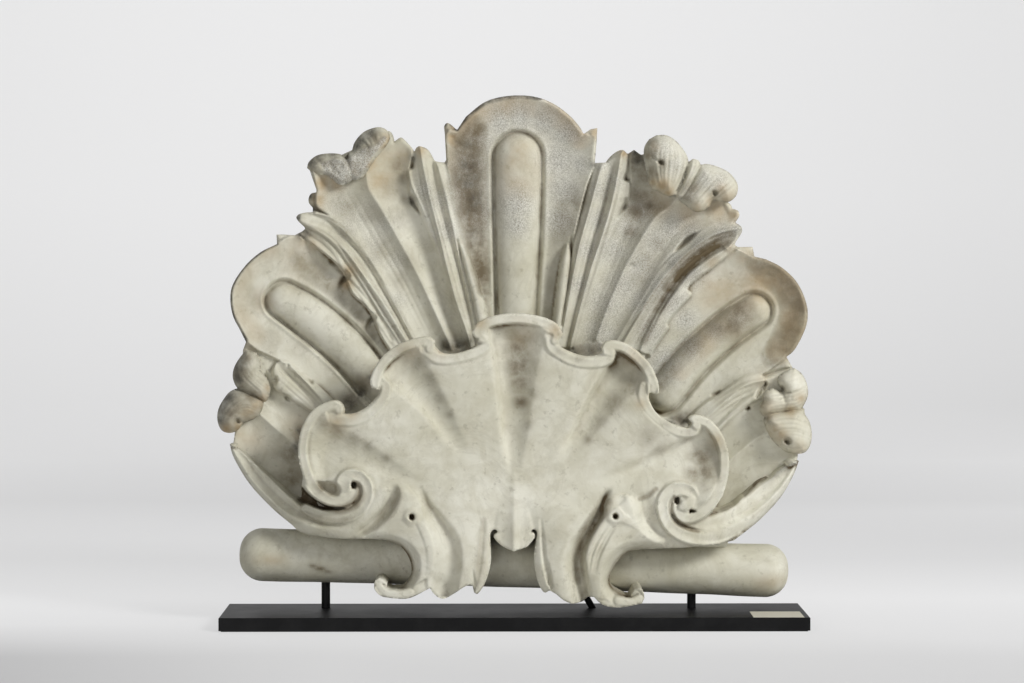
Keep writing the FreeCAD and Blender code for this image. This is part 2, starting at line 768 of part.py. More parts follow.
def build():
    """Build every piece and mark it with its name."""
    named("base_felt", make_felt())
    screws = doc.addObject("Part::Compound", "screw_set")
    screws.Links = [make_screw(side) for side in PINS]
    named("pin_screws", screws)
    for side in PINS:
        named(f"{side}_pin", make_pin(side))
    prop = cut("prop", make_prop_rod("prop_rod", "0"), make_roll("RollSeat", "seat_gap"))
    named("support_prop", prop)
    holes = [make_screw_hole(side) for side in PINS] + [make_prop_rod("prop_hole", "screw_gap")]
    named("base_plate", make_plate(holes))
    named("label_card", make_card())

    roll = make_roll("Roll", "0")
    named("base_roll", cut("roll", roll, *[make_bore(side) for side in PINS]))
    fan = named("back_shell", cut("fan", make_fan(), roll))
    basin = named("basin_shell", cut("basin", make_basin(), fan, roll))
    for name, knobs in CURLS.items():
        named(name, cut(name, make_curl(name, knobs), fan))
    for name, start, edge in (("left_bracket", LEFT_BRACKET_START, LEFT_BRACKET_EDGE),
                              ("right_bracket", RIGHT_BRACKET_START, RIGHT_BRACKET_EDGE)):
        named(name, cut(name, make_bracket(name, start, edge), fan, basin, roll))
    doc.recompute()


def check():
    """Stop unless every object and every piece is sound."""
    for thing in doc.Objects:
        if "Invalid" in thing.State or "Error" in thing.State:
            raise RuntimeError(f"{thing.Label} failed: {thing.State}")
    for label, thing in pieces.items():
        if thing.Shape.isNull() or not thing.Shape.isValid():
            raise RuntimeError(f"{label} has no sound shape")
        if any(solid.Volume <= 0 for solid in thing.Shape.Solids) or not thing.Shape.Solids:
            raise RuntimeError(f"{label} holds no solid")


build()
check()
os.makedirs("parts", exist_ok=True)
for label, thing in pieces.items():
    thing.Shape.exportStep(f"parts/{label}.step")
    box = thing.Shape.BoundBox
    print(f"{label}: {len(thing.Shape.Solids)} solid(s), {thing.Shape.Volume / 1000:.1f} cm3, "
          f"x {box.XMin:.1f}..{box.XMax:.1f} y {box.YMin:.1f}..{box.YMax:.1f} "
          f"z {box.ZMin:.1f}..{box.ZMax:.1f}")
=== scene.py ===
"""Dresses the carved marble holy water stoup and its steel stand.

The marble is carved here as relief: each piece is drawn on a setting-out sheet that faces
the camera, as ridges, hollows and leaves with heights in millimetres, and then stood up in
metres as a closed mesh. Positions on the sheet are the photograph's own columns and rows.
"""

import bmesh
import bpy
import math
import numpy as np
from mathutils import Matrix, Vector


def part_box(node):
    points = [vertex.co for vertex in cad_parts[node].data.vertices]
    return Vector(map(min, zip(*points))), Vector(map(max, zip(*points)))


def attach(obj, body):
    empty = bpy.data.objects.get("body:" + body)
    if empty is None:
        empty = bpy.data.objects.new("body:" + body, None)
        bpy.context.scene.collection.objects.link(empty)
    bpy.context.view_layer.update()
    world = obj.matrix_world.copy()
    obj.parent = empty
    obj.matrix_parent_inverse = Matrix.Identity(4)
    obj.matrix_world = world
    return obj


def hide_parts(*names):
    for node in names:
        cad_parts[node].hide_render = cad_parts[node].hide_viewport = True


# ---- camera, and the sheet that faces it ----

EYE = np.array([-29.5, -3690.7, 550.2])
"""Where the camera stands, in millimetres."""
YAW = 0.0071
PITCH = 0.0354
FOCAL_COLUMNS = 2501.0
"""The lens, as the distance of the picture plane in columns."""
PICTURE = (1024, 683)

FORWARD = np.array([math.sin(YAW) * math.cos(PITCH), math.cos(YAW) * math.cos(PITCH), -math.sin(PITCH)])
RIGHTWARD = np.array([math.cos(YAW), -math.sin(YAW), 0.0])
UPWARD = np.cross(RIGHTWARD, FORWARD)

FIRST_COLUMN = 200
FIRST_ROW = 80
SHEET_COLUMNS = 641
SHEET_ROWS = 551
COLUMNS, ROWS = np.meshgrid(np.arange(SHEET_COLUMNS) + float(FIRST_COLUMN),
                            np.arange(SHEET_ROWS) + float(FIRST_ROW))
COLUMN_MM = 1.48
"""About how wide a column of the sheet is on the marble."""


def stand_up(columns, rows, forward):
    """Points in metres where the camera's rays through a column and row reach a distance forward."""
    across = (np.asarray(columns, float) - PICTURE[0] / 2) / FOCAL_COLUMNS
    above = (PICTURE[1] / 2 - np.asarray(rows, float)) / FOCAL_COLUMNS
    rays = FORWARD + across[..., None] * RIGHTWARD + above[..., None] * UPWARD
    reach = (-np.asarray(forward, float) - EYE[1]) / rays[..., 1]
    return (EYE + rays * reach[..., None]) / 1000.0


# ---- drawing on the sheet ----

def smooth_line(points, steps=5):
    """A smooth line through the points; the columns after the first two are carried along."""
    points = np.asarray(points, float)
    ends = np.vstack([2 * points[0] - points[1], points, 2 * points[-1] - points[-2]])
    t = np.linspace(0, 1, steps, endpoint=False)[:, None]
    runs = []
    for a, b, c, d in zip(ends, ends[1:], ends[2:], ends[3:]):
        slope_start = (c - a) / 2
        slope_end = (d - b) / 2
        runs.append(b + slope_start * t + (3 * (c - b) - 2 * slope_start - slope_end) * t ** 2
                    + (2 * (b - c) + slope_start + slope_end) * t ** 3)
    runs.append(points[-1:])
    return np.vstack(runs)


def outline(*stretches):
    """A closed outline of smooth stretches that meet at corners."""
    return np.vstack([smooth_line(stretch) if len(stretch) > 2 else np.asarray(stretch, float)
                      for stretch in stretches])


def ramp(values, low, high):
    """0 up to the low value, 1 from the high value on, and even between."""
    return np.clip((values - low) / (high - low), 0, 1)


def eased(share):
    """A share from 0 to 1 that leaves and arrives gently."""
    return share * share * (3 - 2 * share)


def patch(low, high):
    """The samples of the sheet between two corners, each a column and a row."""
    first = np.maximum(np.floor(low).astype(int) - (FIRST_COLUMN, FIRST_ROW), 0)
    last = np.ceil(high).astype(int) - (FIRST_COLUMN, FIRST_ROW) + 1
    last = np.maximum(last, first + 1)
    return slice(first[1], last[1]), slice(first[0], last[0])


def nearest(line, columns, rows):
    """Distance to a line, how far along it the nearest point is, and the line's extra columns there."""
    best = np.full(columns.shape, np.inf)
    place = np.zeros(columns.shape)
    for number, (a, b) in enumerate(zip(line[:-1, :2], line[1:, :2])):
        along = b - a
        length = max(along @ along, 1e-9)
        t = np.clip(((columns - a[0]) * along[0] + (rows - a[1]) * along[1]) / length, 0, 1)
        gap = (columns - a[0] - t * along[0]) ** 2 + (rows - a[1] - t * along[1]) ** 2
        closer = gap < best
        best = np.where(closer, gap, best)
        place = np.where(closer, number + t, place)
    knots = np.arange(len(line))
    extras = [np.interp(place, knots, column) for column in line[:, 2:].T]
    return np.sqrt(best), place / (len(line) - 1), extras


def inside(line, columns, rows):
    """Which samples lie inside a closed line."""
    found = np.zeros(columns.shape, bool)
    for (u0, v0), (u1, v1) in zip(line[:, :2], np.roll(line[:, :2], -1, axis=0)):
        if v0 != v1:
            crosses = ((v0 > rows) != (v1 > rows)) & (columns < (u1 - u0) * (rows - v0) / (v1 - v0) + u0)
            found ^= crosses
    return found


def blurred(field, radius):
    """The field averaged over a soft round brush of a radius in samples."""
    reach = int(math.ceil(radius * 3))
    weights = np.exp(-0.5 * (np.arange(-reach, reach + 1) / radius) ** 2)
    weights /= weights.sum()
    for axis in (0, 1):
        pads = [(reach, reach) if axis == k else (0, 0) for k in (0, 1)]
        wide = np.pad(field, pads, mode="edge")
        size = field.shape[axis]
        field = sum(weight * np.take(wide, np.arange(k, k + size), axis=axis)
                    for k, weight in enumerate(weights))
    return field


def between(field, row, column, down, across):
    """A field's values a share down and across from some of its samples to the next ones."""
    top = field[row, column] * (1 - across) + field[row, column + 1] * across
    foot = field[row + 1, column] * (1 - across) + field[row + 1, column + 1] * across
    return top * (1 - down) + foot * down


def grain(seed, size, octaves=3):
    """Smooth random blotches over the whole sheet, about -1 to 1, of a size in samples."""
    total = np.zeros(COLUMNS.shape)
    source = np.random.default_rng(seed)
    for octave in range(octaves):
        cell = size / 2 ** octave
        shape = (int(SHEET_ROWS / cell) + 4, int(SHEET_COLUMNS / cell) + 4)
        knots = source.normal(0, 1, shape)
        y = (ROWS - FIRST_ROW) / cell
        x = (COLUMNS - FIRST_COLUMN) / cell
        row, column = y.astype(int), x.astype(int)
        fy, fx = y - row, x - column
        total += between(knots, row, column, eased(fy), eased(fx)) / 2 ** octave
    return total / 1.6


class Relief:
    """Heights in millimetres above a base surface, and marks of colour, on the sheet."""

    # The dirt, soot and tan marks also carry painted shade: painted shadows, dark pockets and faces turned
    # from the light.
    MARKS = ("tan", "sugar", "soot_and_shade", "dirt_and_shade")

    def __init__(self, base):
        self.base = base
        self.height = np.zeros(COLUMNS.shape)
        self.marks = {name: np.zeros(COLUMNS.shape) for name in self.MARKS}

    def window(self, margin, *lines):
        """The part of the sheet around some lines."""
        points = np.vstack([line[:, :2] for line in lines])
        return patch(points.min(0) - margin, points.max(0) + margin)

    def band(self, left, right, sag=0.0, power=2.0, skew=1.0, add=False, fade=None):
        """A surface stretched between two lines of (column, row, height), hollow by the sag.

        It may be added to what is there, and grow out of it between two rows.
        """
        left, right = smooth_line(left), smooth_line(right)
        part = self.window(1, left, right)
        u, v = COLUMNS[part], ROWS[part]
        gap_left, along, (high_left,) = nearest(left, u, v)
        gap_right, _, (high_right,) = nearest(right, u, v)
        share = gap_left / np.maximum(gap_left + gap_right, 1e-6)
        deep = np.interp(along, np.linspace(0, 1, len(sag)), sag) if isinstance(sag, tuple) else sag
        level = high_left * (1 - share) + high_right * share
        level = level - deep * (1 - np.abs(2 * share ** skew - 1) ** power)
        beyond = np.where(inside(np.vstack([left, right[::-1]]), u, v), 0, np.minimum(gap_left, gap_right))
        held = np.clip(1.1 - beyond, 0, 1)
        if add:
            level = level + self.height[part]
        if fade:
            level = self.height[part] + (level - self.height[part]) * eased(ramp(v, *fade))
        self.height[part] += (level - self.height[part]) * held

    def folds(self, lines, sags, **shape):
        """Bands from each line to the next, each with its own sag."""
        for left, right, sag in zip(lines, lines[1:], sags):
            self.band(left, right, sag, **shape)

    def bowl(self, area, rim, edge, deep, reach):
        """A hollow inside an area, which falls from the rim line over a reach."""
        rim = smooth_line(rim)
        part = self.window(1, area)
        u, v = COLUMNS[part], ROWS[part]
        gap, _, _ = nearest(rim, u, v)
        level = edge - deep * (1 - (1 - np.minimum(gap / reach, 1)) ** 2)
        self.height[part] = np.where(inside(area, u, v), level, self.height[part])

    def gadroon(self, line, tall, foot, moat, fillet, moat_deep=7):
        """A long drop along a line of (column, row, half width), in a moat, with a fillet outside."""
        line = smooth_line(line)
        part = self.window(40, line)
        gap, _, (half,) = nearest(line, COLUMNS[part], ROWS[part])
        dome = np.sqrt(np.clip(1 - (gap / half) ** 2, 0, 1)) ** 0.9
        level = self.height[part]
        outside = gap - half
        level = level - moat_deep * np.clip(1 - np.abs(outside - moat / 2) / (moat / 2 + 1), 0, 1)
        level = level + fillet * np.exp(-((outside - moat - 2.5) / 1.8) ** 2)
        self.height[part] = np.where(gap < half, foot + tall * dome, level)

    def stroke(self, line, high, power=2.0, mark=None):
        """Adds a soft ridge, or a groove when high is negative, along (column, row, half width)."""
        line = smooth_line(line)
        part = self.window(line[:, 2].max() + 1, line)
        gap, _, extras = nearest(line, COLUMNS[part], ROWS[part])
        half = np.maximum(extras[0], 0.3)
        bump = np.clip(1 - (gap / half) ** 2, 0, 1) ** power
        if len(extras) > 1:
            bump = bump * extras[1]
        target = self.marks[mark] if mark else self.height
        target[part] = target[part] + high * bump

    def comb(self, first, last, count, half, deep, seed, dirt_and_shade=0.0):
        """Fine furrows side by side, from one line to another with as many points."""
        first, last = np.asarray(first, float), np.asarray(last, float)
        source = np.random.default_rng(seed)
        for number in range(count):
            share = (number + source.uniform(-0.25, 0.25)) / max(count - 1, 1)
            middle = first * (1 - share) + last * share
            force = source.uniform(0.45, 1.25) * np.interp(np.linspace(0, 1, len(middle)), [0, 0.2, 0.8, 1],
                                                          [0.2, 1, 1, 0.2])
            line = np.column_stack([middle, np.full(len(middle), half), force])
            self.stroke(line, -deep)
            if dirt_and_shade:
                self.stroke(line, dirt_and_shade, 1.0, "dirt_and_shade")

    def leaflet(self, line, high):
        """A rounded ridge set down along (column, row, half width, height share)."""
        line = smooth_line(line)
        part = self.window(line[:, 2].max() + 1, line)
        gap, _, (half, share) = nearest(line, COLUMNS[part], ROWS[part])
        half = np.maximum(half, 0.3)
        level = high * share - 0.55 * np.minimum(high, 14) * (gap / half) ** 2
        held = gap < half
        self.height[part] = np.where(held, np.maximum(level, self.height[part]), self.height[part])

    def soften(self, places, radius=2.5):
        """Wears the relief smooth round some places of (column, row, reach)."""
        soft = blurred(self.height, radius)
        for column, row, reach in places:
            share = np.exp(-((COLUMNS - column) ** 2 + (ROWS - row) ** 2) / reach ** 2)
            self.height = self.height * (1 - share) + soft * share

    def tint(self, mark, places, strength=1.0):
        """Soft blots of a mark at (column, row, radius)."""
        for column, row, radius in places:
            part = self.window(radius * 2.2, np.array([[column, row]], float))
            gap = np.hypot(COLUMNS[part] - column, ROWS[part] - row) / radius
            self.marks[mark][part] = np.maximum(self.marks[mark][part], strength * np.exp(-gap ** 2))


# ---- the fan ----

FAN_OUTLINE = outline(
    [(246, 342), (240, 330), (233, 316), (230.3, 299), (233, 284), (245, 266), (260, 252.5), (277, 244)],
    [(276.5, 234.5), (284, 234.5), (294.6, 235.2)],
    [(302, 231.5), (305, 228), (299, 222), (296.3, 217.7), (298.5, 214.5), (304, 212.8), (312.8, 212)],
    [(312.8, 207.7), (309, 203), (308.7, 198), (311.2, 193.6), (316.2, 192.4)],
    [(316.5, 190), (313, 180), (309, 168)],
    [(330, 160), (352, 150), (372, 140), (389, 131), (394, 142)],
    [(399, 138), (402.4, 138), (410.7, 146.4), (414, 152)],
    [(416.5, 147.5), (420, 146.2), (428, 149.7), (434, 159.6), (437, 161.5), (444.5, 162.5)],
    [(446.2, 160), (444.8, 134.7)],
    [(444, 126.5), (446, 123.4), (449.5, 123.6), (457, 130)],
    [(466, 116.5), (483, 103), (499.5, 97.2), (519.4, 95.3), (537.6, 97.4), (554, 104), (569, 115),
     (579, 126), (583.5, 134)],
    [(590.7, 129.2), (597.3, 128)],
    [(596.8, 140), (594.8, 163)],
    [(606, 162.5), (611, 156), (617, 151.4), (623, 150), (627.5, 154)],
    [(634, 149.8), (640.6, 154.5), (644, 154)],
    [(660, 158), (690, 172), (715, 190), (731, 205)],
    [(732.3, 208.7), (738, 210.8), (739.2, 216), (735.2, 222.7)],
    [(738.5, 224.4), (741.8, 227.5), (741.5, 233), (735, 243.5), (737.5, 247)],
    [(752.6, 246.8), (754.3, 256.4)],
    [(766, 259.3), (780.7, 266.7), (795.3, 280), (804, 296), (807.8, 312), (805.6, 328), (795.3, 348.8),
     (786.5, 357)],
    [(795, 372), (800, 420), (797.5, 458)],
    [(790, 474), (776, 494), (756, 515), (730, 536)],
    [(726, 548), (312, 548)],
    [(300, 520), (277, 504), (255, 481), (239, 458), (233, 446)],
    [(236, 425), (240, 390), (243, 350)],
)


def fan_base():
    """The shallow bowl that the fan's relief stands on, as millimetres forward."""
    middle_column, middle_row, reach = 514, 330, 430
    deepest, rise, shallowest = -46, 38, -8
    away = COLUMN_MM * np.hypot(COLUMNS - middle_column, ROWS - middle_row)
    return np.minimum(deepest + rise * (away / reach) ** 2, shallowest)


def carve_lobes(fan):
    """The three lobes' hollow fields, each with its long gadroon."""
    left = [(300, 236), (290, 235.5), (276, 243), (260, 252.5), (245, 266), (233, 284), (230.3, 299),
            (233, 315.5), (240, 329), (246, 341), (257, 350), (276, 359), (300, 372)]
    right = [(738, 248), (754, 256.4), (766, 259.3), (780.7, 266.7), (795.3, 280), (804, 296),
             (807.8, 312), (805.6, 328), (795.3, 348.8), (786, 358), (764, 374), (745, 384)]
    middle = [
        (458, 244), (449.7, 191), (446.5, 164), (445, 138), (449, 130), (457, 130), (466, 116.5), (483, 103),
        (499.5, 97.4), (519.4, 95.3), (537.6, 97.4), (554, 104), (569, 115), (580, 129), (588, 134),
        (596, 136), (594.8, 163), (585.7, 191), (575.8, 231)]
    fan.bowl(outline(left, [(345, 410), (402, 350), (345, 275), (320, 250)]), left, edge=9, deep=19, reach=46)
    fan.bowl(outline(right, [(680, 425), (640, 400), (650, 345), (690, 285)]), right, edge=9, deep=18,
             reach=44)
    fan.bowl(outline(middle, [(560, 300), (556, 345), (478, 345), (470, 300)]), middle, edge=12, deep=20,
             reach=44)
    fan.gadroon([(284, 300, 16), (305, 313.5, 18.2), (330, 333, 18.4), (355, 357, 17.6), (380, 388, 16)],
                tall=22, foot=-14, moat=4.5, fillet=2.2)
    fan.gadroon([(754, 311, 15.2), (733, 325, 15.8), (710, 344, 16.2), (688, 365, 16.6), (664, 394, 17)],
                tall=22, foot=-14, moat=4.5, fillet=1.2)
    fan.gadroon([(517.8, 156.5, 22), (517.8, 195, 21.6), (517.5, 240, 20.4), (516.5, 312, 17.4),
                 (516, 350, 16)], tall=23, foot=-12, moat=4.6, fillet=1.0)


def carve_upper_left(fan):
    """Two broad flutes under the broken curl, and the leaf outside them."""
    outer = [(305, 150, 22), (312, 170, 19), (316, 192, 16), (317, 206, 14), (333, 218, 13), (357, 242, 12),
             (375, 267, 11), (394, 300, 9), (411, 332, 7), (424, 356, 4)]
    arris = [(362, 140, 22), (366, 165, 19), (369, 188, 16), (381, 208, 14), (406, 252.5, 12), (420, 279, 11),
             (446, 335, 6), (452, 350, 4)]
    inner = [(418, 130, 18), (413, 152, 14), (410, 170, 8), (410, 188, 5), (418, 208, 4), (433, 242.5, 3),
             (444.8, 275.7, 3), (454.7, 309, 2), (466, 345, 1)]
    fan.band(outer, arris, (17, 11))
    fan.band(arris, inner, (15, 9), 2.4)
    edge = [(300, 234, 6), (318, 248, 13), (338, 264, 15), (346, 277, 14), (352.6, 293, 14), (366, 306, 14),
            (373.4, 318, 12), (382, 337, 10), (394, 356, 8)]
    low_ridge = [(297, 221, 16), (312, 227, 18), (331, 239, 19), (348, 254, 19), (364, 276, 18),
                 (381, 299, 17), (402, 333, 14), (414, 354, 10)]
    furrow = [(300, 215, 14), (315, 216, 11), (331, 224.5, 8), (354, 247, 5), (369, 267, 4), (388, 299, 3),
              (405.5, 331, 3), (418, 354, 2)]
    high_ridge = [(300, 212.5, 14), (313, 211.5, 16), (333, 219, 17), (357, 242.5, 16), (375, 267.5, 15),
                  (393.5, 300, 14), (410.5, 332, 11), (422, 354, 8)]
    fan.folds((edge, low_ridge, furrow, high_ridge), (5, 1, -1))
    fan.stroke([(330, 262, 2.5), (350, 281, 2.5), (372, 307, 2.2), (392, 340, 2)], -3)
    fan.stroke([(345, 271, 3, 0.4), (347.5, 276, 4, 1), (343, 280, 3.5, 1), (340, 286, 3, 0.3)], -15)
    fan.stroke([(371, 313, 2.5, 0.4), (374, 318, 3.6, 1), (370, 321, 3, 1), (368, 327, 3, 0.3)], -13)


def carve_left_leaf(fan):
    """The tall leaf between the left flutes and the middle lobe."""
    edge = [(414, 151, 12), (411.5, 163, 12), (408.3, 172, 11), (409.5, 188, 11), (413, 203, 9),
            (420, 211, 9), (434, 243, 9), (446, 276, 8), (456, 309, 8), (468, 345, 6)]
    crest = [(420, 146, 22), (423, 165, 25), (428.5, 188, 25), (441.5, 245, 23), (455, 298, 20),
             (466, 330, 17), (471, 348, 14)]
    furrow = [(429, 149, 16), (432.5, 163, 9), (438.5, 198, 7), (449, 236, 6), (458.5, 268, 5), (471, 320, 4),
              (476, 346, 3)]
    second = [(434, 158, 16), (439, 170, 17), (445, 193, 18), (452, 224, 18), (460.5, 262, 17),
              (473.5, 315, 14), (480, 346, 11)]
    last = [(444, 161, 8), (446.5, 168, 9), (451, 192, 10), (456, 234, 12), (464, 272, 9), (476, 318, 7),
            (483, 346, 5)]
    fan.folds((edge, crest, furrow, second, last), (4, 2, 2, 1))
    fan.leaflet([(461, 246, 2.5, 0.7), (465.5, 258, 5, 1), (471.5, 280, 6.5, 1), (478, 305, 7, 1),
                 (483, 330, 7, 0.9), (486, 348, 7, 0.8)], 18)
    fan.stroke([(457, 240, 1.6), (464, 268, 1.8), (471, 295, 2), (477, 325, 2)], -6)
    fan.stroke([(411, 196, 2.5, 0.6), (412.5, 201, 3.6, 1), (416, 207, 2.6, 0.8), (420, 214, 2, 0.2)], -16)
    fan.stroke([(413, 158, 2, 0.5), (412, 166, 3, 1), (409.5, 169, 2, 0.4)], -13)
    fan.stroke([(409, 172, 1.8), (413, 188, 1.8), (424, 212, 1.8), (436, 243, 1.5)], 3)


def carve_right_leaf(fan):
    """The tall leaf between the middle lobe and the right flutes."""
    edge = [(594.5, 163, 8), (592, 178, 9), (582.5, 214, 9), (574.5, 243, 8), (567, 280, 8), (559, 322, 6),
            (554, 348, 5)]
    crest = [(603, 163, 16), (600, 172, 20), (591, 203, 21), (580, 243, 20), (572.5, 280, 18), (565, 320, 15),
             (560, 348, 12)]
    furrow = [(613, 157, 14), (611.5, 176, 8), (603.5, 212, 5), (595, 244, 4), (585.5, 277, 4), (573, 320, 3),
              (566, 348, 2)]
    second = [(623, 150, 20), (620.5, 160, 22), (612, 202, 23), (602, 236, 21), (591, 268, 18),
              (578, 316, 14), (570, 348, 11)]
    last = [(627, 153.5, 12), (626.5, 166, 12), (625, 180, 11), (629.5, 184, 11), (628, 198, 10),
            (622, 211, 8), (606, 247, 8), (596, 272, 7), (588, 296, 6), (580, 325, 5), (574, 348, 4)]
    fan.folds((edge, crest, furrow, second, last), (3, 2, 2, 3))
    fan.leaflet([(567.5, 246, 2.5, 0.6), (566, 258, 5, 1), (563, 284, 6, 1), (559.5, 312, 6, 1),
                 (556, 345, 6, 0.9)], 16)
    fan.stroke([(571.5, 238, 1.8), (571, 262, 1.6), (567, 292, 1.8), (561, 325, 2)], -6)
    fan.stroke([(626, 174, 2, 0.4), (625.2, 178.7, 3, 1), (628, 180, 2, 0.4)], -12)
    fan.stroke([(626, 199, 2.2, 0.4), (624.5, 206, 3.4, 1), (620.5, 212, 2.4, 0.8), (617, 219, 2, 0.2)], -16)


def carve_upper_right(fan):
    """Two broad flutes under the rolled curl, and the leaf outside them."""
    inner = [(632, 146, 10), (630, 165, 4), (631, 190, 3), (622, 211, 3), (606, 247, 3), (596, 272, 3),
             (588, 296, 2), (576, 345, 1)]
    arris = [(696, 165, 18), (682, 192, 17), (668, 208, 15), (653, 221, 14), (632, 255.5, 12), (625, 268, 10),
             (609, 305, 8), (596, 340, 5)]
    outer = [(748, 205, 18), (733, 222, 12), (712, 224, 8), (696, 232, 5), (684, 241, 4), (674, 250, 3),
             (660, 267, 3), (641, 298, 3), (620, 333, 2), (612, 348, 1)]
    fan.folds((inner, arris, outer), ((15, 8), (16, 9)), power=2.2)
    upper = [(735, 223, 12), (722, 224.5, 11), (711, 225, 9), (701, 231, 7), (689, 243, 6), (676, 252, 6),
             (658, 272, 6), (640, 301, 6), (621, 333, 5), (612, 350, 4)]
    crest = [(741, 228, 20), (724, 231, 23), (707, 239, 23), (683, 257, 21), (664, 279, 20), (647, 302, 18),
             (627, 336, 14), (620, 350, 11)]
    furrow = [(739, 233, 14), (727.9, 238, 8), (702, 253, 5), (684, 268, 4), (663, 295, 3), (646, 323, 3),
              (632, 350, 2)]
    second = [(738, 238, 14), (729, 247, 17), (716, 255.5, 18), (693, 273, 17), (679, 289, 15),
              (662, 311, 13), (647, 338, 10), (640, 352, 8)]
    last = [(737, 244, 9), (728, 254, 9), (711.7, 266.7, 8), (694, 279, 7), (687, 289, 7), (690, 295, 8),
            (678, 309, 7), (667, 323, 6), (667, 329, 6), (656, 345, 5), (650, 356, 4)]
    fan.folds((upper, crest, furrow, second, last), (3, 2, 2, 2))
    fan.stroke([(694, 234, 2.4, 0.3), (686, 240.5, 3.8, 1), (680, 247, 2.6, 0.7), (675, 252, 2, 0.2)], -16)
    fan.stroke([(723, 246, 2, 0.4), (727, 249, 3, 1), (731, 246, 2.4, 0.6)], 4)
    fan.stroke([(628, 270, 3, 0.2), (631, 266, 3.5, 1), (635, 268, 3, 0.3)], -3)


def carve_lower_left(fan):
    """The small leaf and the two flutes under the left curl."""
    leaf_foot = [(268, 370, 4), (275, 380, 3), (280, 392, 2), (290, 399, 2), (312, 412, 0), (330, 425, -2)]
    arris = [(246, 398, 12), (261, 414.6, 9), (286, 437, 4), (297, 446, 2), (312, 458, -2)]
    base = [(228, 436, 12), (236, 448, 4), (256, 470, -6), (284, 500, -14), (320, 530, -16)]
    fan.band(arris, leaf_foot, (13, 12))
    fan.band(base, arris, (15, 12))
    foot = [(272, 371, 12), (274.5, 380, 12), (275.5, 388, 11), (288, 398, 10), (300, 404, 9), (318, 416, 7)]
    furrow = [(276, 363, 10), (280, 369, 7), (288, 375.5, 4), (303, 391, 3), (318, 408, 2), (326, 420, 1)]
    crest = [(280, 360.5, 14), (290, 366, 16), (304, 380, 16), (319, 396, 14), (332, 412, 11)]
    top = [(284.4, 360.4, 8), (293, 363.5, 8), (312, 381, 7), (326, 393.5, 6), (340, 408, 4)]
    fan.folds((foot, furrow, crest, top), (-6, 2, 1))
    fan.stroke([(286.5, 363.5, 1.6, 0.5), (288.4, 365.5, 2.2, 1)], -9)
    fan.stroke([(309, 380, 2, 0.4), (312, 382.5, 3, 1)], -14)
    fan.stroke([(276, 377, 2, 0.4), (275.7, 380.5, 3, 1), (275, 384, 2, 0.5)], -13)
    fan.stroke([(284, 395, 2, 0.4), (287.9, 398, 3.2, 1), (291, 401, 2, 0.3)], -14)


def carve_lower_right(fan):
    """The small leaf and the flutes under the right curl."""
    leaf_foot = [(768, 396, 2), (761, 401, 1), (742, 414, -1), (723, 427, -3), (706, 444, -6)]
    arris = [(800, 420, 10), (775, 430, 8), (757, 438, 4), (736, 455, 0), (716, 474, -4)]
    base = [(804, 452, 10), (790, 470, 4), (768, 488, -6), (744, 512, -12), (716, 530, -14)]
    fan.folds((leaf_foot, arris, base), ((12, 9), (12, 9)))
    top = [(764, 377, 8), (757, 374.5, 8), (745, 376.5, 8), (734, 384, 7), (716, 397, 6), (704, 404, 5),
           (686, 420, 3)]
    crest = [(765, 380, 14), (748, 384, 16), (732, 395, 16), (714, 411, 13), (696, 428, 9)]
    furrow = [(764, 387, 8), (752, 391.5, 5), (734, 407, 3), (719, 422, 1), (706, 436, 0)]
    foot = [(763, 397, 9), (752, 402, 9), (740, 411, 8), (725, 424, 6), (712, 438, 4)]
    fan.folds((top, crest, furrow, foot), (1, 2, -4))
    fan.stroke([(746, 410, 2, 0.3), (748.8, 408.2, 2.8, 1)], -12)
    fan.stroke([(765, 384, 3, 0.8), (760, 392, 3.4, 1), (757, 397, 2.6, 0.6)], -16)
    fan.stroke([(712, 395.5, 2, 0.4), (717, 393.6, 2.4, 1), (720, 391, 2, 0.3)], -7)
    fan.stroke([(796, 368, 3, 0.6), (780, 371, 3, 1), (764, 376.5, 3, 0.8)], -8)


def carve_ribs(fan):
    """The fine ribs that run along every leaf of the fan."""
    fan.comb([(302, 214), (333, 221), (358, 245), (394, 302), (420, 350)],
             [(300, 229), (328, 250), (351, 284), (377, 325), (398, 354)], 5, 2.0, 2.6, 91, 0.3)
    fan.comb([(416, 155), (422, 190), (438, 245), (465, 338)],
             [(441, 166), (449, 212), (461, 262), (480, 338)], 6, 1.6, 3.0, 92, 0.35)
    fan.comb([(598, 165), (588, 205), (574, 255), (560, 338)],
             [(624, 156), (613, 206), (598, 256), (574, 338)], 6, 1.6, 3.2, 93, 0.35)
    fan.comb([(738, 230), (706, 241), (672, 270), (642, 311), (619, 347)],
             [(733, 244), (706, 258), (682, 279), (661, 311), (643, 347)], 6, 1.9, 4.2, 94, 0.5)
    fan.comb([(281, 362), (304, 382), (330, 411)], [(274, 384), (291, 399), (314, 415)], 5, 1.4, 2.2, 95, 0.3)
    fan.comb([(760, 378), (735, 386), (706, 406)], [(757, 397), (735, 411), (712, 428)], 5, 1.4, 2.4, 96, 0.3)
    fan.comb([(340, 196), (364, 240), (396, 290), (426, 345)],
             [(360, 186), (384, 228), (412, 282), (438, 340)], 4, 2.2, 0.9, 97)
    fan.comb([(640, 170), (625, 225), (604, 280), (584, 335)],
             [(664, 200), (634, 245), (612, 290), (592, 338)], 4, 2.2, 1.0, 98)
    fan.comb([(700, 216), (668, 240), (634, 290), (604, 340)],
             [(716, 214), (680, 232), (650, 276), (612, 340)], 4, 2.2, 1.0, 99)


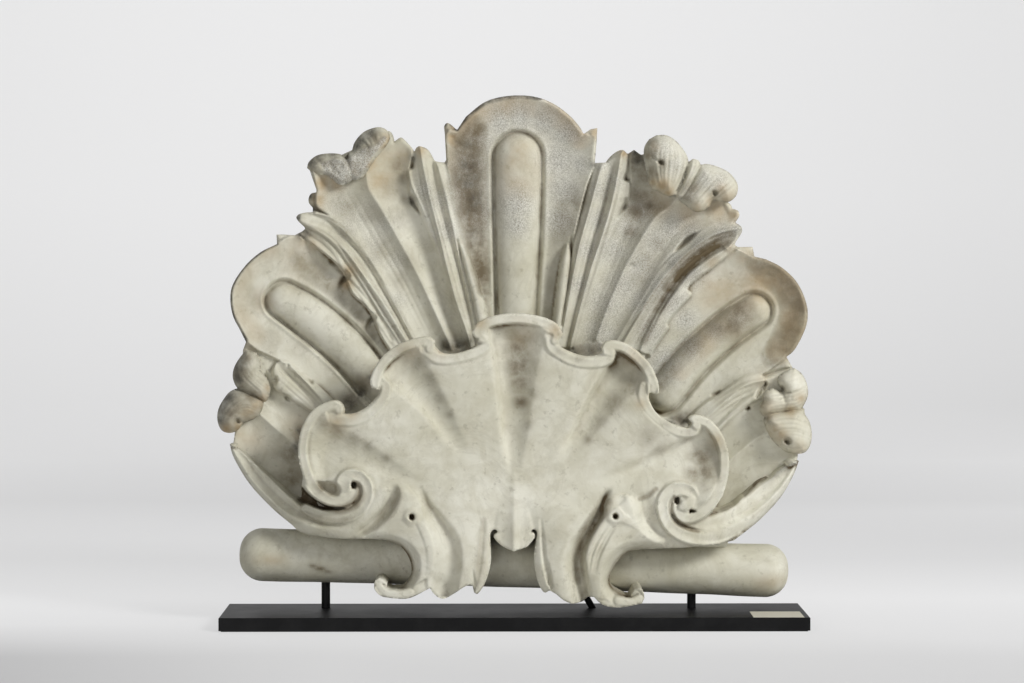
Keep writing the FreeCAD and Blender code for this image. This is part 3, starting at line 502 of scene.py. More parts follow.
def soil_and_shade_fan(fan):
    """Brown dirt in the fan's flutes, moats and feet, with painted shade and painted shadows beside the
    gadroon, the leaves, the curls and the basin's rim.
    """
    # Painted shade with dirt on the right lobe's field, which faces away from the light.
    fan.stroke([(762, 262, 18), (780, 274, 20), (794, 292, 20), (798, 312, 20), (790, 338, 20),
                (776, 356, 16)], 0.7, 0.6, "dirt_and_shade")
    fan.stroke([(744, 304, 8), (725, 318, 9), (700, 338, 10), (676, 364, 10), (660, 384, 8)], 0.5, 0.7,
               "dirt_and_shade")
    # Painted shadow with dirt under the upper right curl's knobs.
    fan.tint("dirt_and_shade", [(636, 158, 9), (642, 175, 13), (640, 195, 13), (636, 212, 12), (650, 208, 12),
                      (632, 232, 8)], 0.85)
    fan.tint("dirt_and_shade", [(345, 205, 14), (372, 215, 12), (392, 190, 12), (400, 215, 12), (380, 250, 10),
                      (398, 280, 9), (410, 262, 9), (345, 235, 8)], 0.42)
    fan.tint("dirt_and_shade", [(742, 312, 13), (733, 326, 14), (722, 330, 10)], 0.9)
    fan.stroke([(730, 236, 7), (712, 245, 9), (698, 254, 10), (682, 268, 10), (668, 286, 8)], 0.5, 0.7,
               "dirt_and_shade")
    fan.tint("dirt_and_shade", [(650, 262, 16), (640, 280, 12), (658, 246, 12)], 0.35)
    fan.tint("dirt_and_shade", [(255, 300, 14), (270, 340, 14), (300, 345, 12), (330, 368, 12), (300, 288, 10)], 0.3)
    # Painted shadow of the middle gadroon, with dirt, on the field left of it.
    fan.stroke([(476, 128, 14), (468, 150, 20), (468, 180, 22), (472, 215, 18), (478, 250, 14),
                (484, 290, 8)], 0.95, 0.7, "dirt_and_shade")
    # Painted shadow of the right leaf on the middle field's right side.
    fan.stroke([(565, 205, 10), (560, 240, 12), (552, 280, 8), (548, 310, 6)], 0.35, 0.7, "dirt_and_shade")
    fan.stroke([(722, 243, 7), (706, 252, 8), (690, 266, 8), (672, 290, 8), (655, 318, 7), (644, 340, 6)],
               0.3, 0.7, "dirt_and_shade")
    fan.stroke([(300, 262, 12), (330, 285, 12), (355, 310, 10), (372, 335, 9)], 0.5, 0.7, "dirt_and_shade")
    # Painted shadows with dirt beside the middle gadroon and the tall leaves, and under the upper right curl.
    fan.tint("dirt_and_shade", [
        (470, 175, 14), (466, 155, 10), (478, 195, 14), (488, 215, 8), (578, 200, 12), (573, 225, 10),
        (640, 190, 16), (634, 170, 10), (650, 205, 12), (404, 178, 9), (406, 200, 8), (398, 165, 8)], 0.6)
    # Painted shadow on the fan beside the basin's left rim and in the pockets behind its notches.
    fan.tint("dirt_and_shade", [
        (290, 455, 16), (292, 478, 16), (300, 440, 12), (362, 385, 14), (350, 398, 12), (378, 372, 10),
        (456, 347, 10), (446, 346, 8), (466, 344, 8), (580, 352, 10), (594, 350, 8), (690, 418, 8),
        (680, 420, 8)], 0.75)


def tan_and_shade_fan(fan):
    """Where the fan is worn and warm tan, on its lips and gadroons, with painted shade on the right lobe,
    which faces away from the light.
    """
    fan.tint("tan", [(517, 158, 16), (517, 150, 14)], 0.75)
    fan.stroke([(458, 136, 13), (470, 121, 14), (485, 112, 14), (501, 107, 13), (519, 105, 13),
                (538, 107, 13), (554, 114, 13), (568, 124, 13), (580, 138, 13)], 0.75, 0.6, "tan")
    fan.stroke([(450, 128, 8), (450, 150, 8), (453, 170, 6)], 0.5, 1, "tan")
    fan.stroke([(760, 296, 12), (735, 312, 16), (705, 340, 16), (680, 370, 12)], 0.5, 0.7, "tan")
    fan.stroke([(250, 268, 14), (241, 284, 14), (240, 300, 14), (244, 318, 14), (255, 336, 14)], 0.35, 1,
               "tan")
    # Painted shade with tan on the right lobe's field.
    fan.stroke([(758, 264, 16), (778, 276, 18), (792, 292, 18), (796, 312, 18), (790, 335, 18),
                (780, 350, 16)], 0.75, 0.6, "tan")
    fan.tint("tan", [(517, 160, 26), (517, 185, 20)], 0.5)
    fan.tint("tan", [(322, 184, 12), (336, 183, 10), (318, 200, 9), (372, 165, 14), (388, 160, 13),
                     (380, 180, 14), (400, 160, 12), (420, 150, 7), (302, 240, 12), (312, 246, 9)], 0.85)
    # Tan wear; the last two blots, on the right lobe, are painted shade with tan.
    fan.tint("tan", [
        (350, 270, 8), (346, 284, 7), (660, 205, 14), (690, 218, 16), (715, 213, 14), (733, 216, 9),
        (700, 205, 12), (624, 153, 5), (595, 132, 8), (730, 250, 8), (712, 262, 8), (745, 255, 12),
        (760, 285, 26), (720, 290, 22)], 0.8)
    fan.tint("tan", [(266, 250, 16), (300, 262, 22), (262, 300, 12), (245, 345, 12), (250, 440, 14),
                     (240, 432, 10), (300, 425, 14), (735, 320, 20), (765, 380, 12)], 0.45)


def weather_fan(fan):
    """Where rain has left the fan's marble grey and sugary."""
    fan.tint("sugar", [(738, 318, 14), (715, 330, 14), (690, 352, 14), (668, 378, 12)], 0.6)
    fan.tint("sugar", [
        (480, 140, 18), (500, 122, 18), (520, 118, 18), (545, 122, 18), (565, 135, 18), (470, 165, 20),
        (468, 190, 22), (478, 215, 18), (560, 160, 22), (565, 190, 20), (560, 220, 18), (580, 165, 12),
        (517, 205, 20), (517, 225, 14)], 0.95)
    fan.tint("sugar", [(425, 190, 12), (440, 200, 14), (448, 230, 12), (600, 190, 12), (612, 180, 12),
                       (597, 220, 12), (588, 250, 12), (580, 285, 12), (604, 165, 8)], 0.8)
    fan.tint("sugar", [
        (615, 250, 20), (628, 230, 20), (640, 215, 18), (655, 240, 22), (640, 265, 22), (622, 285, 24),
        (606, 305, 24), (600, 330, 20), (670, 230, 20), (690, 232, 14), (640, 300, 20), (655, 285, 18),
        (675, 262, 16), (700, 245, 16), (722, 234, 14), (735, 230, 9), (690, 275, 16), (670, 300, 18),
        (650, 330, 18), (685, 320, 14), (665, 360, 18), (690, 345, 14), (650, 375, 12)], 0.95)
    fan.tint("sugar", [(340, 205, 18), (360, 215, 20), (350, 225, 16), (375, 240, 18), (385, 225, 14),
                       (395, 260, 14), (372, 260, 10), (398, 300, 10)], 0.55)


def blacken_fan(fan):
    """Painted shade in a soot colour along the fan's top and left edges and in its deepest notches, with
    painted shadows in the pockets behind the basin's rim and beside the middle gadroon.
    """
    # Painted shadow in the pockets behind the basin's rim.
    fan.tint("soot_and_shade", [
        (350, 402, 9), (362, 391, 7), (371, 379, 5), (299, 430, 6), (297, 447, 6), (446, 346, 7),
        (460, 347, 8), (470, 342, 6), (574, 352, 7), (588, 352, 9), (600, 347, 6), (684, 420, 7),
        (672, 422, 6), (655, 404, 5)], 0.75)
    # Painted shadow of the middle gadroon on the field left of it.
    fan.tint("soot_and_shade", [(470, 180, 14), (470, 165, 12), (474, 200, 12)], 0.65)
    fan.tint("soot_and_shade", [(470, 168, 17), (471, 205, 14), (464, 143, 10), (476, 235, 10)], 0.42)
    # Painted shade along the top edge and the left lobe's edge, which face away from the light.
    fan.stroke([(457, 129, 3), (466, 116, 4.5), (483, 102.5, 4.5), (500, 97, 4.5), (520, 95, 4),
                (540, 98, 3)], 0.95, 0.5, "soot_and_shade")
    fan.stroke([(276, 244, 2.4), (260, 252.5, 2.2), (245, 266, 2.4), (233, 284, 2.6), (230.3, 299, 2.6),
                (233, 315.5, 2.4), (246, 340, 2.4)], 0.9, 0.5, "soot_and_shade")
    # Painted shade in the deepest notches.
    fan.tint("soot_and_shade", [
        (445, 124, 3), (452, 125, 3), (306, 234, 5), (300, 236, 4), (413, 158, 4), (412, 201, 4),
        (309, 196, 4), (312, 209, 4), (594, 165, 4), (636, 152, 6), (640, 160, 8), (298, 218, 3)], 0.9)


def carve_fan():
    """The whole fan's relief."""
    fan = Relief(fan_base())
    for carve in (carve_lobes, carve_upper_left, carve_upper_right, carve_left_leaf, carve_right_leaf,
                  carve_lower_left, carve_lower_right, carve_ribs, soil_and_shade_fan, tan_and_shade_fan, weather_fan,
                  blacken_fan):
        carve(fan)
    return fan


# ---- the basin, its volutes and the brackets under it ----

BASIN_OUTLINE = outline(
    [(229.7, 444), (234, 458), (249.7, 484), (272, 508), (291, 524), (301.7, 532.5), (326, 537.5),
     (350, 539), (371, 538.6)],
    [(371, 538.6), (392, 542), (404, 550), (411, 563.8), (410, 577.6), (402.3, 588), (392, 590.5),
     (386.7, 588)],
    [(387, 583), (381.5, 578.5), (375.5, 580.5), (374.2, 588), (378, 594), (383.3, 597)],
    [(394, 598.5), (405.8, 598.8), (415, 596), (430, 588)],
    [(433, 593), (438, 597.3), (445, 598.5), (455, 593), (466, 586), (472.5, 585.2)],
    [(474, 592.5), (478.3, 593.3), (486, 581), (491, 562), (490.5, 545), (490.2, 536), (491.5, 531.5),
     (495, 529.5), (498.3, 532)],
    [(496.5, 533.2), (494.3, 535), (494.5, 538.5), (501.8, 545.8), (513.6, 551.5)],
    [(527.3, 546.8), (533.5, 539.5), (535, 535), (533, 532.5)],
    [(530.5, 533), (533, 529.3), (536.5, 531), (536.8, 538), (534, 559.6), (537, 579), (543.5, 592),
     (549.8, 590.5)],
    [(556, 594), (564, 600.5), (572.3, 603.5), (582, 601.5), (588, 596.8)],
    [(594, 597), (600, 603), (608, 606.5), (620, 607.5), (632, 605.5), (642, 603.4)],
    [(644.5, 598), (643.5, 592), (640, 588.6), (634.5, 589.5)],
    [(630, 596.8), (622.4, 594.4), (611.6, 587), (609.8, 576.4), (617, 562), (631.4, 551),
     (658.3, 548.5)],
    [(680, 548), (701.5, 546), (720, 543.5), (733.9, 540.4)],
    [(745, 532), (760.9, 518.8), (780.6, 497.3), (793.2, 475.7), (799, 460.5)],
    [(790, 464), (784.2, 466.5), (777, 471.5), (771, 478), (766, 477), (762, 478.5), (757, 482.5),
     (750, 490.5), (744, 497)],
    [(735, 506), (722, 512), (712, 512)],
    [(723, 495.5), (728.5, 474), (728.5, 452), (721.3, 432.5), (710.5, 420), (699.7, 415.4), (692, 416),
     (689.3, 419), (692.5, 423)],
    [(691.6, 425.5), (687, 428), (671, 423.5), (656.5, 412.7), (649.4, 400), (649.2, 392)],
    [(654, 393.5), (658.5, 393), (658.3, 382), (651.2, 366), (640.4, 353.4), (626, 343.5),
     (613.4, 340.4), (605, 342.5), (601.5, 348)],
    [(602.5, 352), (597.8, 355), (588, 356.5), (576, 354), (562.5, 348), (558.6, 342), (560, 338)],
    [(563.5, 334.4), (556.6, 323.6), (541, 316.7), (517.5, 313.2), (494, 315.8), (478.3, 322.6),
     (472.5, 330.5), (474, 336.5), (478, 339)],
    [(477.3, 345), (470.5, 349.5), (454.8, 354), (442, 353), (434.5, 346.5)],
    [(434.8, 341), (430, 337.3), (424, 336.6), (402.3, 342.6), (385, 354), (374.6, 367.8),
     (370.2, 380), (371, 387.5)],
    [(376.3, 389.4), (380.2, 390), (376.3, 397), (366, 407.6), (353.8, 413.7), (343.4, 414.6)],
    [(344.6, 410), (341, 403.5), (333, 400.8), (315.6, 407.6), (303.5, 423), (298.3, 444), (299, 461.4),
     (303, 476)],
    [(300, 500), (290, 497), (270, 478), (253, 462), (241, 451), (234, 446.5)],
)


class Sheet(Relief):
    """A relief whose heights are measured from the plane through the plate's middle."""

    def strip(self, line, dish=1.5, edge=2.0, cover=True):
        """A moulding set over what is there, along (column, row, half width, height)."""
        line = smooth_line(line, 7)
        part = self.window(line[:, 2].max() + 2, line)
        gap, _, (half, high) = nearest(line, COLUMNS[part], ROWS[part])
        share = gap / np.maximum(half, 0.5)
        rounding = edge * np.clip((gap - half + edge) / edge, 0, 1) ** 2
        level = high - dish * (1 - share ** 2) - rounding
        if not cover:
            level = np.maximum(level, self.height[part])
        held = np.clip(half - gap + 0.5, 0, 1)
        self.height[part] += (level - self.height[part]) * held


DISH_MIDDLE = 513
"""The column through the middle of the dish."""


def basin_base():
    """The dish's plain surface: hollow in the middle, fuller towards its foot."""
    hollow, rise, reach, eye_row, squash = 59.5, 6.5, 200, 500, 1.1
    fuller, fuller_row, fuller_reach = 9.5, 480, 14
    away = np.hypot(COLUMNS - DISH_MIDDLE, squash * np.minimum(ROWS - eye_row, 0))
    return (hollow + rise * (away / reach) ** 2
            + fuller / (1 + np.exp((fuller_row - ROWS) / fuller_reach)))


def carve_dish(basin):
    """The scalloped dish: hollow flutes under the lobes and full ridges under the notches."""
    lines = [
        [(288, 500, 0), (312, 487, -1), (332, 476, -1), (352, 468, 0), (374, 474, 0), (402, 482, 0),
         (450, 493, 0)],
        [(312, 402, 2), (334, 424, 3), (362, 439, 3), (388, 456, 3), (416, 475, 1), (452, 492, 0)],
        [(360, 356, 2), (390, 384, 3), (419.6, 409, 3), (447, 442, 2), (466, 462, 1), (484, 480, 0)],
        [(410, 330, 2), (427.4, 363.7, 4), (443, 393, 4), (458, 425, 2), (470, 452, 1), (486, 480, 0)],
        [(484, 306, 2), (491, 340, 4), (497.5, 383, 3), (503.5, 442, 1), (508, 470, 0), (512, 492, 0)],
        [(550, 306, 2), (544, 340, 5), (535, 383, 4), (527, 440, 2), (519, 476, 1), (513, 494, 0)],
        [(628, 330, 2), (604, 371, 4), (583, 410, 3), (566, 442, 1), (545, 474, 0), (535, 486, 0)],
        [(688, 366, 2), (644, 387, 4), (622, 403, 4), (595, 434, 2), (566, 464, 0), (538, 488, 0)],
        [(722, 392, 2), (699, 427, 3), (684, 438, 3), (652, 454, 2), (612, 472, 1), (572, 486, 0)],
        [(754, 486, 0), (722, 500, -1), (698, 496, -1), (676, 479, 0), (655, 482, 0), (616, 491, 0),
         (574, 489, 0)],
    ]
    hollows = [(24, 10, 1), (-4, -1), (25, 15, 5, 0), (-4, -1), (25, 19, 11, 2), (-4, -1), (30, 24, 12, 2),
               (-10, -4, 0), (18, 14, 2)]
    skews = [0.8, 1.0, 0.75, 1.0, 0.5, 1.0, 0.5, 1.0, 0.55]
    for left, right, sag, skew in zip(lines, lines[1:], hollows, skews):
        basin.band(left, right, sag, skew=skew)
    eye_row, keel_column, keel_reach = 506, 516, 20
    starts, earlier, grows, squash = 66, 44, 70, 1.25
    cove_tall, cove_power = 10, 1.6
    away = np.hypot(COLUMNS - DISH_MIDDLE, squash * (ROWS - eye_row))
    starts = starts - earlier * np.exp(-((COLUMNS - keel_column) / keel_reach) ** 2)
    basin.height = blurred(basin.height, 1.5) * eased(ramp(away, starts, starts + grows))
    coves = [[(318, 411.5, 26), (307.5, 424.5, 26), (302.8, 444, 26), (303.6, 461, 24), (310, 480, 16)],
             [(379, 369, 20), (388, 357.5, 22), (404, 346.8, 22), (422, 341.5, 20)],
             [(483, 325, 18), (496, 320, 22), (517.5, 318, 24), (539, 321.5, 22), (552, 327, 18)],
             [(614, 345, 20), (625, 348, 22), (637, 357, 22), (647, 368.5, 22), (653, 382, 20)],
             [(708, 423.6, 26), (717.5, 434.5, 28), (724, 452, 30), (724, 474, 30), (717, 492, 26)]]
    for cove in coves:
        basin.stroke(cove, cove_tall, cove_power)


def carve_keel(basin):
    """The sharp keel down the middle of the belly, and the beak that it ends in."""
    keel_column, tall, beak_deep = 513.8, 6.0, 5
    left_reach, right_reach, beak_half = 7.0, 15.0, 26
    aside = COLUMNS - keel_column
    reach = np.where(aside < 0, left_reach, right_reach) * np.clip((ROWS - 440) / 60, 0.3, 1)
    basin.height += tall * ramp(ROWS, 446, 516) ** 1.3 * np.exp(-np.abs(aside) / reach)
    beak = ramp(ROWS, 506, 536) ** 2 * np.clip(1 - (np.abs(aside) / beak_half) ** 2, 0, 1)
    basin.height -= beak_deep * beak * ramp(np.abs(aside), 0, 12)


def carve_left_flank(basin):
    """The belly's left side: a leaf that dips from the bracket's boss, and the hook beside the keel."""
    wave = [(420, 480, 0), (430, 502, 0), (436, 508, 2), (443.5, 517, 6), (453, 529, 8), (459.5, 541, 9),
            (462, 556, 9.5), (461, 572, 8), (456, 596, 2)]
    hook = [(504, 488, 0), (499, 505, 0), (495, 525, -2), (492, 540, -2), (491, 562, -2), (487, 580, -3),
            (478, 600, -8)]
    boss = [(400, 478, 0), (410, 490, 3), (417, 498, 6), (421, 508, 8), (423, 519, 9), (431, 533, 11),
            (434.6, 548, 11.5), (432, 565, 9), (427, 580, 5), (430, 600, 0)]
    basin.band(wave, hook, (0, -4), add=True, fade=(482, 512))
    basin.band(boss, wave, (3, 18), 2.2, 1.5, fade=(480, 500))


def carve_right_flank(basin):
    """The belly's right side, with a deeper leaf."""
    wave = [(604, 482, 0), (596, 502, 0), (591, 510, 2), (585, 519, 5), (575, 531, 8), (568, 541, 10),
            (563.5, 556, 11), (563.5, 575, 10), (567, 592, 6), (573, 606, 0)]
    hook = [(523, 488, 0), (528, 505, 0), (532.5, 525, -2), (536, 540, -2), (534.5, 560, -2),
            (537.5, 579, -3), (546, 598, -8)]
    boss = [(622, 476, 0), (613, 490, 3), (607, 502, 7), (605, 515, 9), (598, 527, 10), (590.5, 541, 11),
            (586.5, 554, 10), (586.5, 566, 8), (589, 580, 5), (593, 604, 0)]
    basin.band(hook, wave, (0, -4), add=True, fade=(482, 512))
    basin.band(wave, boss, (20, 26, 21), 2.0, 1.8, fade=(486, 500))


def groove_hooks(basin):
    """Wears the belly a little, then cuts the grooves along its two hooks."""
    basin.height = blurred(basin.height, 0.9)
    basin.stroke([(484, 520, 2, 0.2), (482, 545, 3, 1), (479, 570, 3, 1), (476, 586, 2, 1)], -3)
    basin.stroke([(472.5, 570, 1.5, 0.2), (474, 580, 2.4, 1), (474, 590, 2, 1)], -6)
    basin.stroke([(541, 520, 2, 0.2), (543, 545, 3, 1), (545, 565, 3, 1), (549, 584, 2.5, 1)], -4)
    basin.stroke([(547, 560, 1.5, 0.2), (549.5, 575, 2.6, 1), (551.5, 588, 2, 1)], -5)


def carve_left_bracket(basin):
    """The left bracket: a crest and a groove that come down from the dish, and a hook over the roll."""
    basin.band([(326, 512, 50), (338, 527, 54), (352, 546, 54)],
               [(394, 503, 66), (394, 525, 64), (386, 546, 58)])
    groove = [(388, 481, 70), (391.3, 490, 66), (389, 501.6, 60), (380, 513.4, 58), (368, 525, 57),
              (354, 534, 56)]
    crest = [(395, 481, 70), (400, 489, 75), (399.6, 500, 78), (394, 511, 78), (385, 522.5, 75),
             (372, 532, 71), (357, 539.5, 65)]
    boss = [(401, 478, 68), (409, 488, 72), (418, 500, 76), (422.5, 512, 79), (426, 524, 80.5),
            (432, 536, 81.5), (434.6, 548, 81), (432, 565, 79), (427, 578, 74)]
    basin.band(groove, crest, 2.5, fade=(483, 490))
    basin.band(crest, boss, -3, fade=(481, 493))
    edge = [(366, 541, 46), (392, 542, 46), (404, 550, 46), (411, 563.8, 46), (410, 577.6, 46),
            (402.3, 588, 46), (390, 591, 46)]
    face = [(366, 538, 62), (386, 534, 73), (404, 539, 78), (416, 549, 81), (421.5, 563, 80), (419, 579, 76),
            (410, 592, 70), (396, 598, 64)]
    spine = [(380, 530, 73), (392, 522, 76.5), (406, 520, 79.5), (418, 524, 80), (426, 531, 80.5),
             (432, 540, 81), (434.6, 548, 81), (432, 565, 79), (427, 578, 74)]
    basin.band(edge, face, -5)
    basin.band(face, spine, -1)
    basin.soften([(398, 526, 8), (414, 524, 8), (425, 540, 10)], 1.6)
    basin.strip([(416, 519, 3, 80), (423.5, 530, 4.6, 82.5), (428.6, 543, 4.8, 83), (430.6, 556, 4.4, 82.5),
                 (429.5, 567, 3.4, 80), (426, 574, 1.8, 77)], dish=-0.8, edge=1.5, cover=False)
    basin.strip([(381, 585, 6.5, 64), (382, 588, 6, 66), (388, 593, 5.5, 68), (398, 595, 5, 70),
                 (410, 593, 5, 71)], dish=-1, edge=2.5)
    basin.stroke([(383, 584.5, 2.2, 0.5), (386, 587, 2, 1), (392, 589.5, 1.6, 0.6)], -7)


def carve_right_bracket(basin):
    """The right bracket: its crest, groove and leaf, and its hook over the roll."""
    basin.band([(640, 503, 66), (644, 525, 64), (654, 550, 58)],
               [(688, 518, 56), (690, 530, 56), (686, 552, 50)])
    crest = [(623, 494.5, 71), (628.6, 496.8, 77), (631, 506, 80), (633.4, 516, 80), (637.5, 526, 78.5),
             (643, 533.5, 76.5), (649, 539, 73), (656, 543, 68)]
    groove = [(634, 496, 66), (640, 499, 66), (643, 508, 64), (645.5, 517, 62), (650, 525, 61),
              (656, 532, 61), (663, 538, 62), (672, 543, 61)]
    leaf = [(650, 490, 70), (655, 490, 71), (654.5, 504, 70), (656.5, 516, 68), (661, 526, 66),
            (669, 534, 65), (678, 540, 64), (688, 545, 62)]
    boss = [(622, 494.3, 71), (614, 495.5, 75), (608, 501, 76.5), (606, 509, 78), (605, 517, 79.5),
            (598, 527, 80.5), (590.5, 541, 81.5), (586.5, 554, 81), (586.5, 566, 78), (589, 577, 75),
            (595, 598, 70)]
    basin.band(groove, leaf, 1)
    basin.band(crest, groove, -1)
    basin.band(boss, crest, -3.5)
    edge = [(664, 548, 46), (631.4, 551, 46), (617, 562, 46), (609.8, 576.4, 46), (611.6, 587, 46),
            (622.4, 594.4, 46), (634, 598, 46)]
    face = [(664, 543, 66), (634, 540, 74), (615, 548, 79), (604, 562, 80), (600.5, 577, 78), (602, 592, 74),
            (612, 602, 70), (634, 605, 64)]
    spine = [(654, 542, 72), (642, 533, 77), (626, 525, 79), (610, 521, 79.5), (600, 526, 80),
             (592.5, 538, 81), (587.5, 552, 81), (587, 566, 78), (589.5, 577, 75), (595, 598, 70)]
    basin.band(face, edge, -5)
    basin.band(spine, face, -1)
    basin.soften([(626, 528, 6), (614, 524, 8), (600, 540, 9), (662, 541, 9), (652, 543, 6), (614, 502, 7),
                  (620, 498, 5), (637, 498, 5), (646, 494, 6), (654, 491, 4)], 1.8)
    basin.comb([(607, 527), (598, 541), (592, 556), (589.5, 570)],
               [(615, 527), (606, 542), (599, 557), (595, 573)], 3, 1.9, 5, 81)
    basin.strip([(637, 595, 5.5, 66), (638, 599, 5.6, 68), (630, 602.5, 5, 70), (618, 601, 5, 72)],
                dish=-1, edge=2.5)
    basin.stroke([(625, 596.5, 1.6, 0.6), (632, 597, 2, 1), (637, 594, 2, 0.7)], -7)


def drill_bosses(basin):
    """The round boss on each bracket, with the hole drilled in it."""
    boss_half, boss_tall = 9.5, 4.5
    hole_half, hole_deep = 3.1, 26
    for column, row in ((411.9, 517), (615.5, 516.3)):
        basin.stroke([(column, row - 0.5, boss_half), (column, row + 0.5, boss_half)], boss_tall, 1.0)
        basin.stroke([(column, row - 0.3, hole_half), (column, row + 0.3, hole_half)], -hole_deep, 0.6)


def carve_left_volute(basin):
    """The long leaf that sweeps in from the left and rolls up, and the rim's spiral end in it."""
    outer = [(229.7, 444, 6), (234, 458, 4), (249.7, 484, 6), (272, 508, 14), (291, 525, 24), (303, 535, 32),
             (326, 540, 44), (344, 541, 53), (354, 536, 57)]
    ridge = [(231, 446, 14), (239, 459, 16), (254, 482, 20), (276, 504, 28), (296, 518.5, 38),
             (315, 526, 50), (332, 529, 59), (342, 528.5, 63), (352, 526, 66)]
    valley = [(236, 448, 10), (246, 459, 8), (262, 480, 10), (284, 501, 18), (302, 513.5, 30), (318, 520, 42),
              (332, 522.5, 53), (342, 522, 57), (350, 520, 61)]
    inner = [(241, 449.5, 14), (252, 457, 16), (268, 472, 18), (287, 492, 24), (303, 508, 34),
             (320, 514, 48), (337, 515.5, 58), (350, 512.5, 64), (360, 503, 67)]
    wall = [(246, 448, -30), (262, 462, -36), (284, 484, -38), (300, 498, -34), (310, 504, -20),
            (324, 509, 0), (337, 510.5, 20), (348, 508, 34), (356, 500, 40)]
    rim_foot = [(292, 462, -36), (296, 478, -36), (305, 491, -34), (315, 500, -30), (328, 507, -14),
                (344, 508, 8)]
    basin.band(wall[1:7], rim_foot, 0)
    basin.folds((outer, ridge, valley, inner, wall), (-3, 1, -1, -2))
    foot = [(348, 539, 55), (354, 536, 57), (361, 530, 57), (368, 525, 57), (380, 513.4, 58),
            (389, 501.6, 60), (391.3, 490, 66), (388, 481, 70)]
    shoulder = [(347, 527.5, 64.5), (352, 526, 66), (358, 522, 68), (364, 517, 70), (373, 507, 73),
                (379, 496, 74), (381, 488, 73), (380, 481, 70)]
    edge = [(346, 521, 59), (350, 520, 61), (356, 517, 63), (361, 512.5, 65), (368, 503, 68),
            (371.5, 494, 69), (372, 486, 69), (371, 481, 69)]
    basin.folds((foot, shoulder, edge), (-3, -1), fade=(482, 490))
    basin.soften([(348, 525, 8), (350, 536, 7), (362, 534, 6), (374, 526, 5), (384, 486, 5)], 2.2)
    basin.stroke([(251, 453, 1.6, 0.5), (253.5, 458, 2.2, 1), (258, 464, 1.8, 0.4)], -9)
    basin.strip([
        (341, 491, 4.5, 75), (343.5, 486.5, 7.5, 76.5), (345, 480, 8, 78), (351.5, 475.8, 7, 78.5),
        (359.5, 477.5, 6.8, 78), (365.5, 485.5, 7.2, 77.5), (365.5, 496, 7.4, 76.5), (360.5, 506, 7.6, 74.5),
        (351, 513.5, 7.8, 71), (338, 516.5, 7.4, 65), (322, 515.5, 6.4, 55),
        (306, 508.5, 5, 42)], dish=4.5, edge=1.6, cover=False)
    basin.stroke([(352.5, 481.5, 2, 0.3), (358.5, 486, 3, 1), (359, 494, 3.4, 1), (354, 502, 3.6, 1),
                  (343.5, 507.5, 3.4, 0.9), (330, 507.5, 3, 0.6), (314, 502, 2.4, 0.2)], -9, 1.2)


def carve_right_volute(basin):
    """The long leaf from the right, and its spiral end."""
    outer = [(799, 460, 8), (793.2, 475.7, 6), (780.6, 497.3, 8), (760.9, 518.8, 16), (744, 532, 26),
             (730, 541, 36), (712, 546, 46), (690, 549, 54), (668, 546, 60)]
    ridge = [(797, 462, 16), (788, 477, 19), (774, 495, 24), (755, 512, 32), (738, 522.5, 42), (720, 530, 52),
             (702, 533.5, 60), (686, 532, 64), (672, 525, 66)]
    valley = [(790, 466, 12), (781, 481, 12), (765, 497, 17), (747, 510, 26), (731, 518, 38), (716, 523, 48),
              (700, 525.5, 57), (686, 522, 63), (676, 512, 66)]
    inner = [(785, 466, 18), (777, 472, 20), (768, 480, 22), (758, 487, 24), (745, 498, 30), (728, 509, 40),
             (714, 515.5, 50), (700, 518, 58), (688, 516, 64)]
    wall = [(780, 464, -34), (770, 472, -36), (756, 477, -38), (746, 486, -38), (736, 496, -30),
            (722, 503, -10), (712, 509, 20), (700, 512, 36), (690, 510, 44)]
    rim_foot = [(732, 468, -36), (731, 478, -36), (727, 490, -34), (719, 502, -28), (709, 510, -4)]
    basin.band(rim_foot, wall[2:7], 0)
    for left, right, sag in ((ridge, outer, -3), (valley, ridge, 1), (inner, valley, -1), (wall, inner, -2)):
        basin.band(left, right, sag)
    basin.soften([(670, 534, 8), (672, 543, 7), (682, 547, 7), (664, 524, 6)], 2.2)
    basin.stroke([(772, 474, 1.6, 0.5), (766, 477.5, 2.4, 1), (760, 484, 1.8, 0.3)], -9)
    basin.strip([(694, 499, 5, 76), (690, 491.5, 6.5, 77), (680.5, 488.5, 6.8, 78),
                 (671.5, 491.5, 7.2, 78), (665.3, 499, 7.4, 78), (664, 508.5, 7.4, 77.5),
                 (666.5, 518.5, 7.2, 76.5), (673.5, 528, 7.4, 74), (685, 535, 7.4, 70),
                 (700, 538.5, 7, 63), (718, 538, 6, 52), (736, 531, 5, 38)], dish=3.6, edge=1.6,
                cover=False)
    basin.stroke([(673.5, 497, 2, 0.3), (671, 503, 2.8, 1), (671.5, 513, 3, 1), (676.5, 521.5, 3, 1),
                  (686, 527.5, 2.8, 0.9), (698, 531, 2.4, 0.4), (706, 532, 2, 0.1)], -10, 1.2)
    basin.strip([(691, 499, 4.5, 76), (688.5, 503.5, 6, 76), (684.5, 506, 6, 76), (682, 507, 4.5, 75)],
                dish=-1, edge=2)


RIM_HALF = 5.2
"""Half the width of the rim's moulding, in columns."""


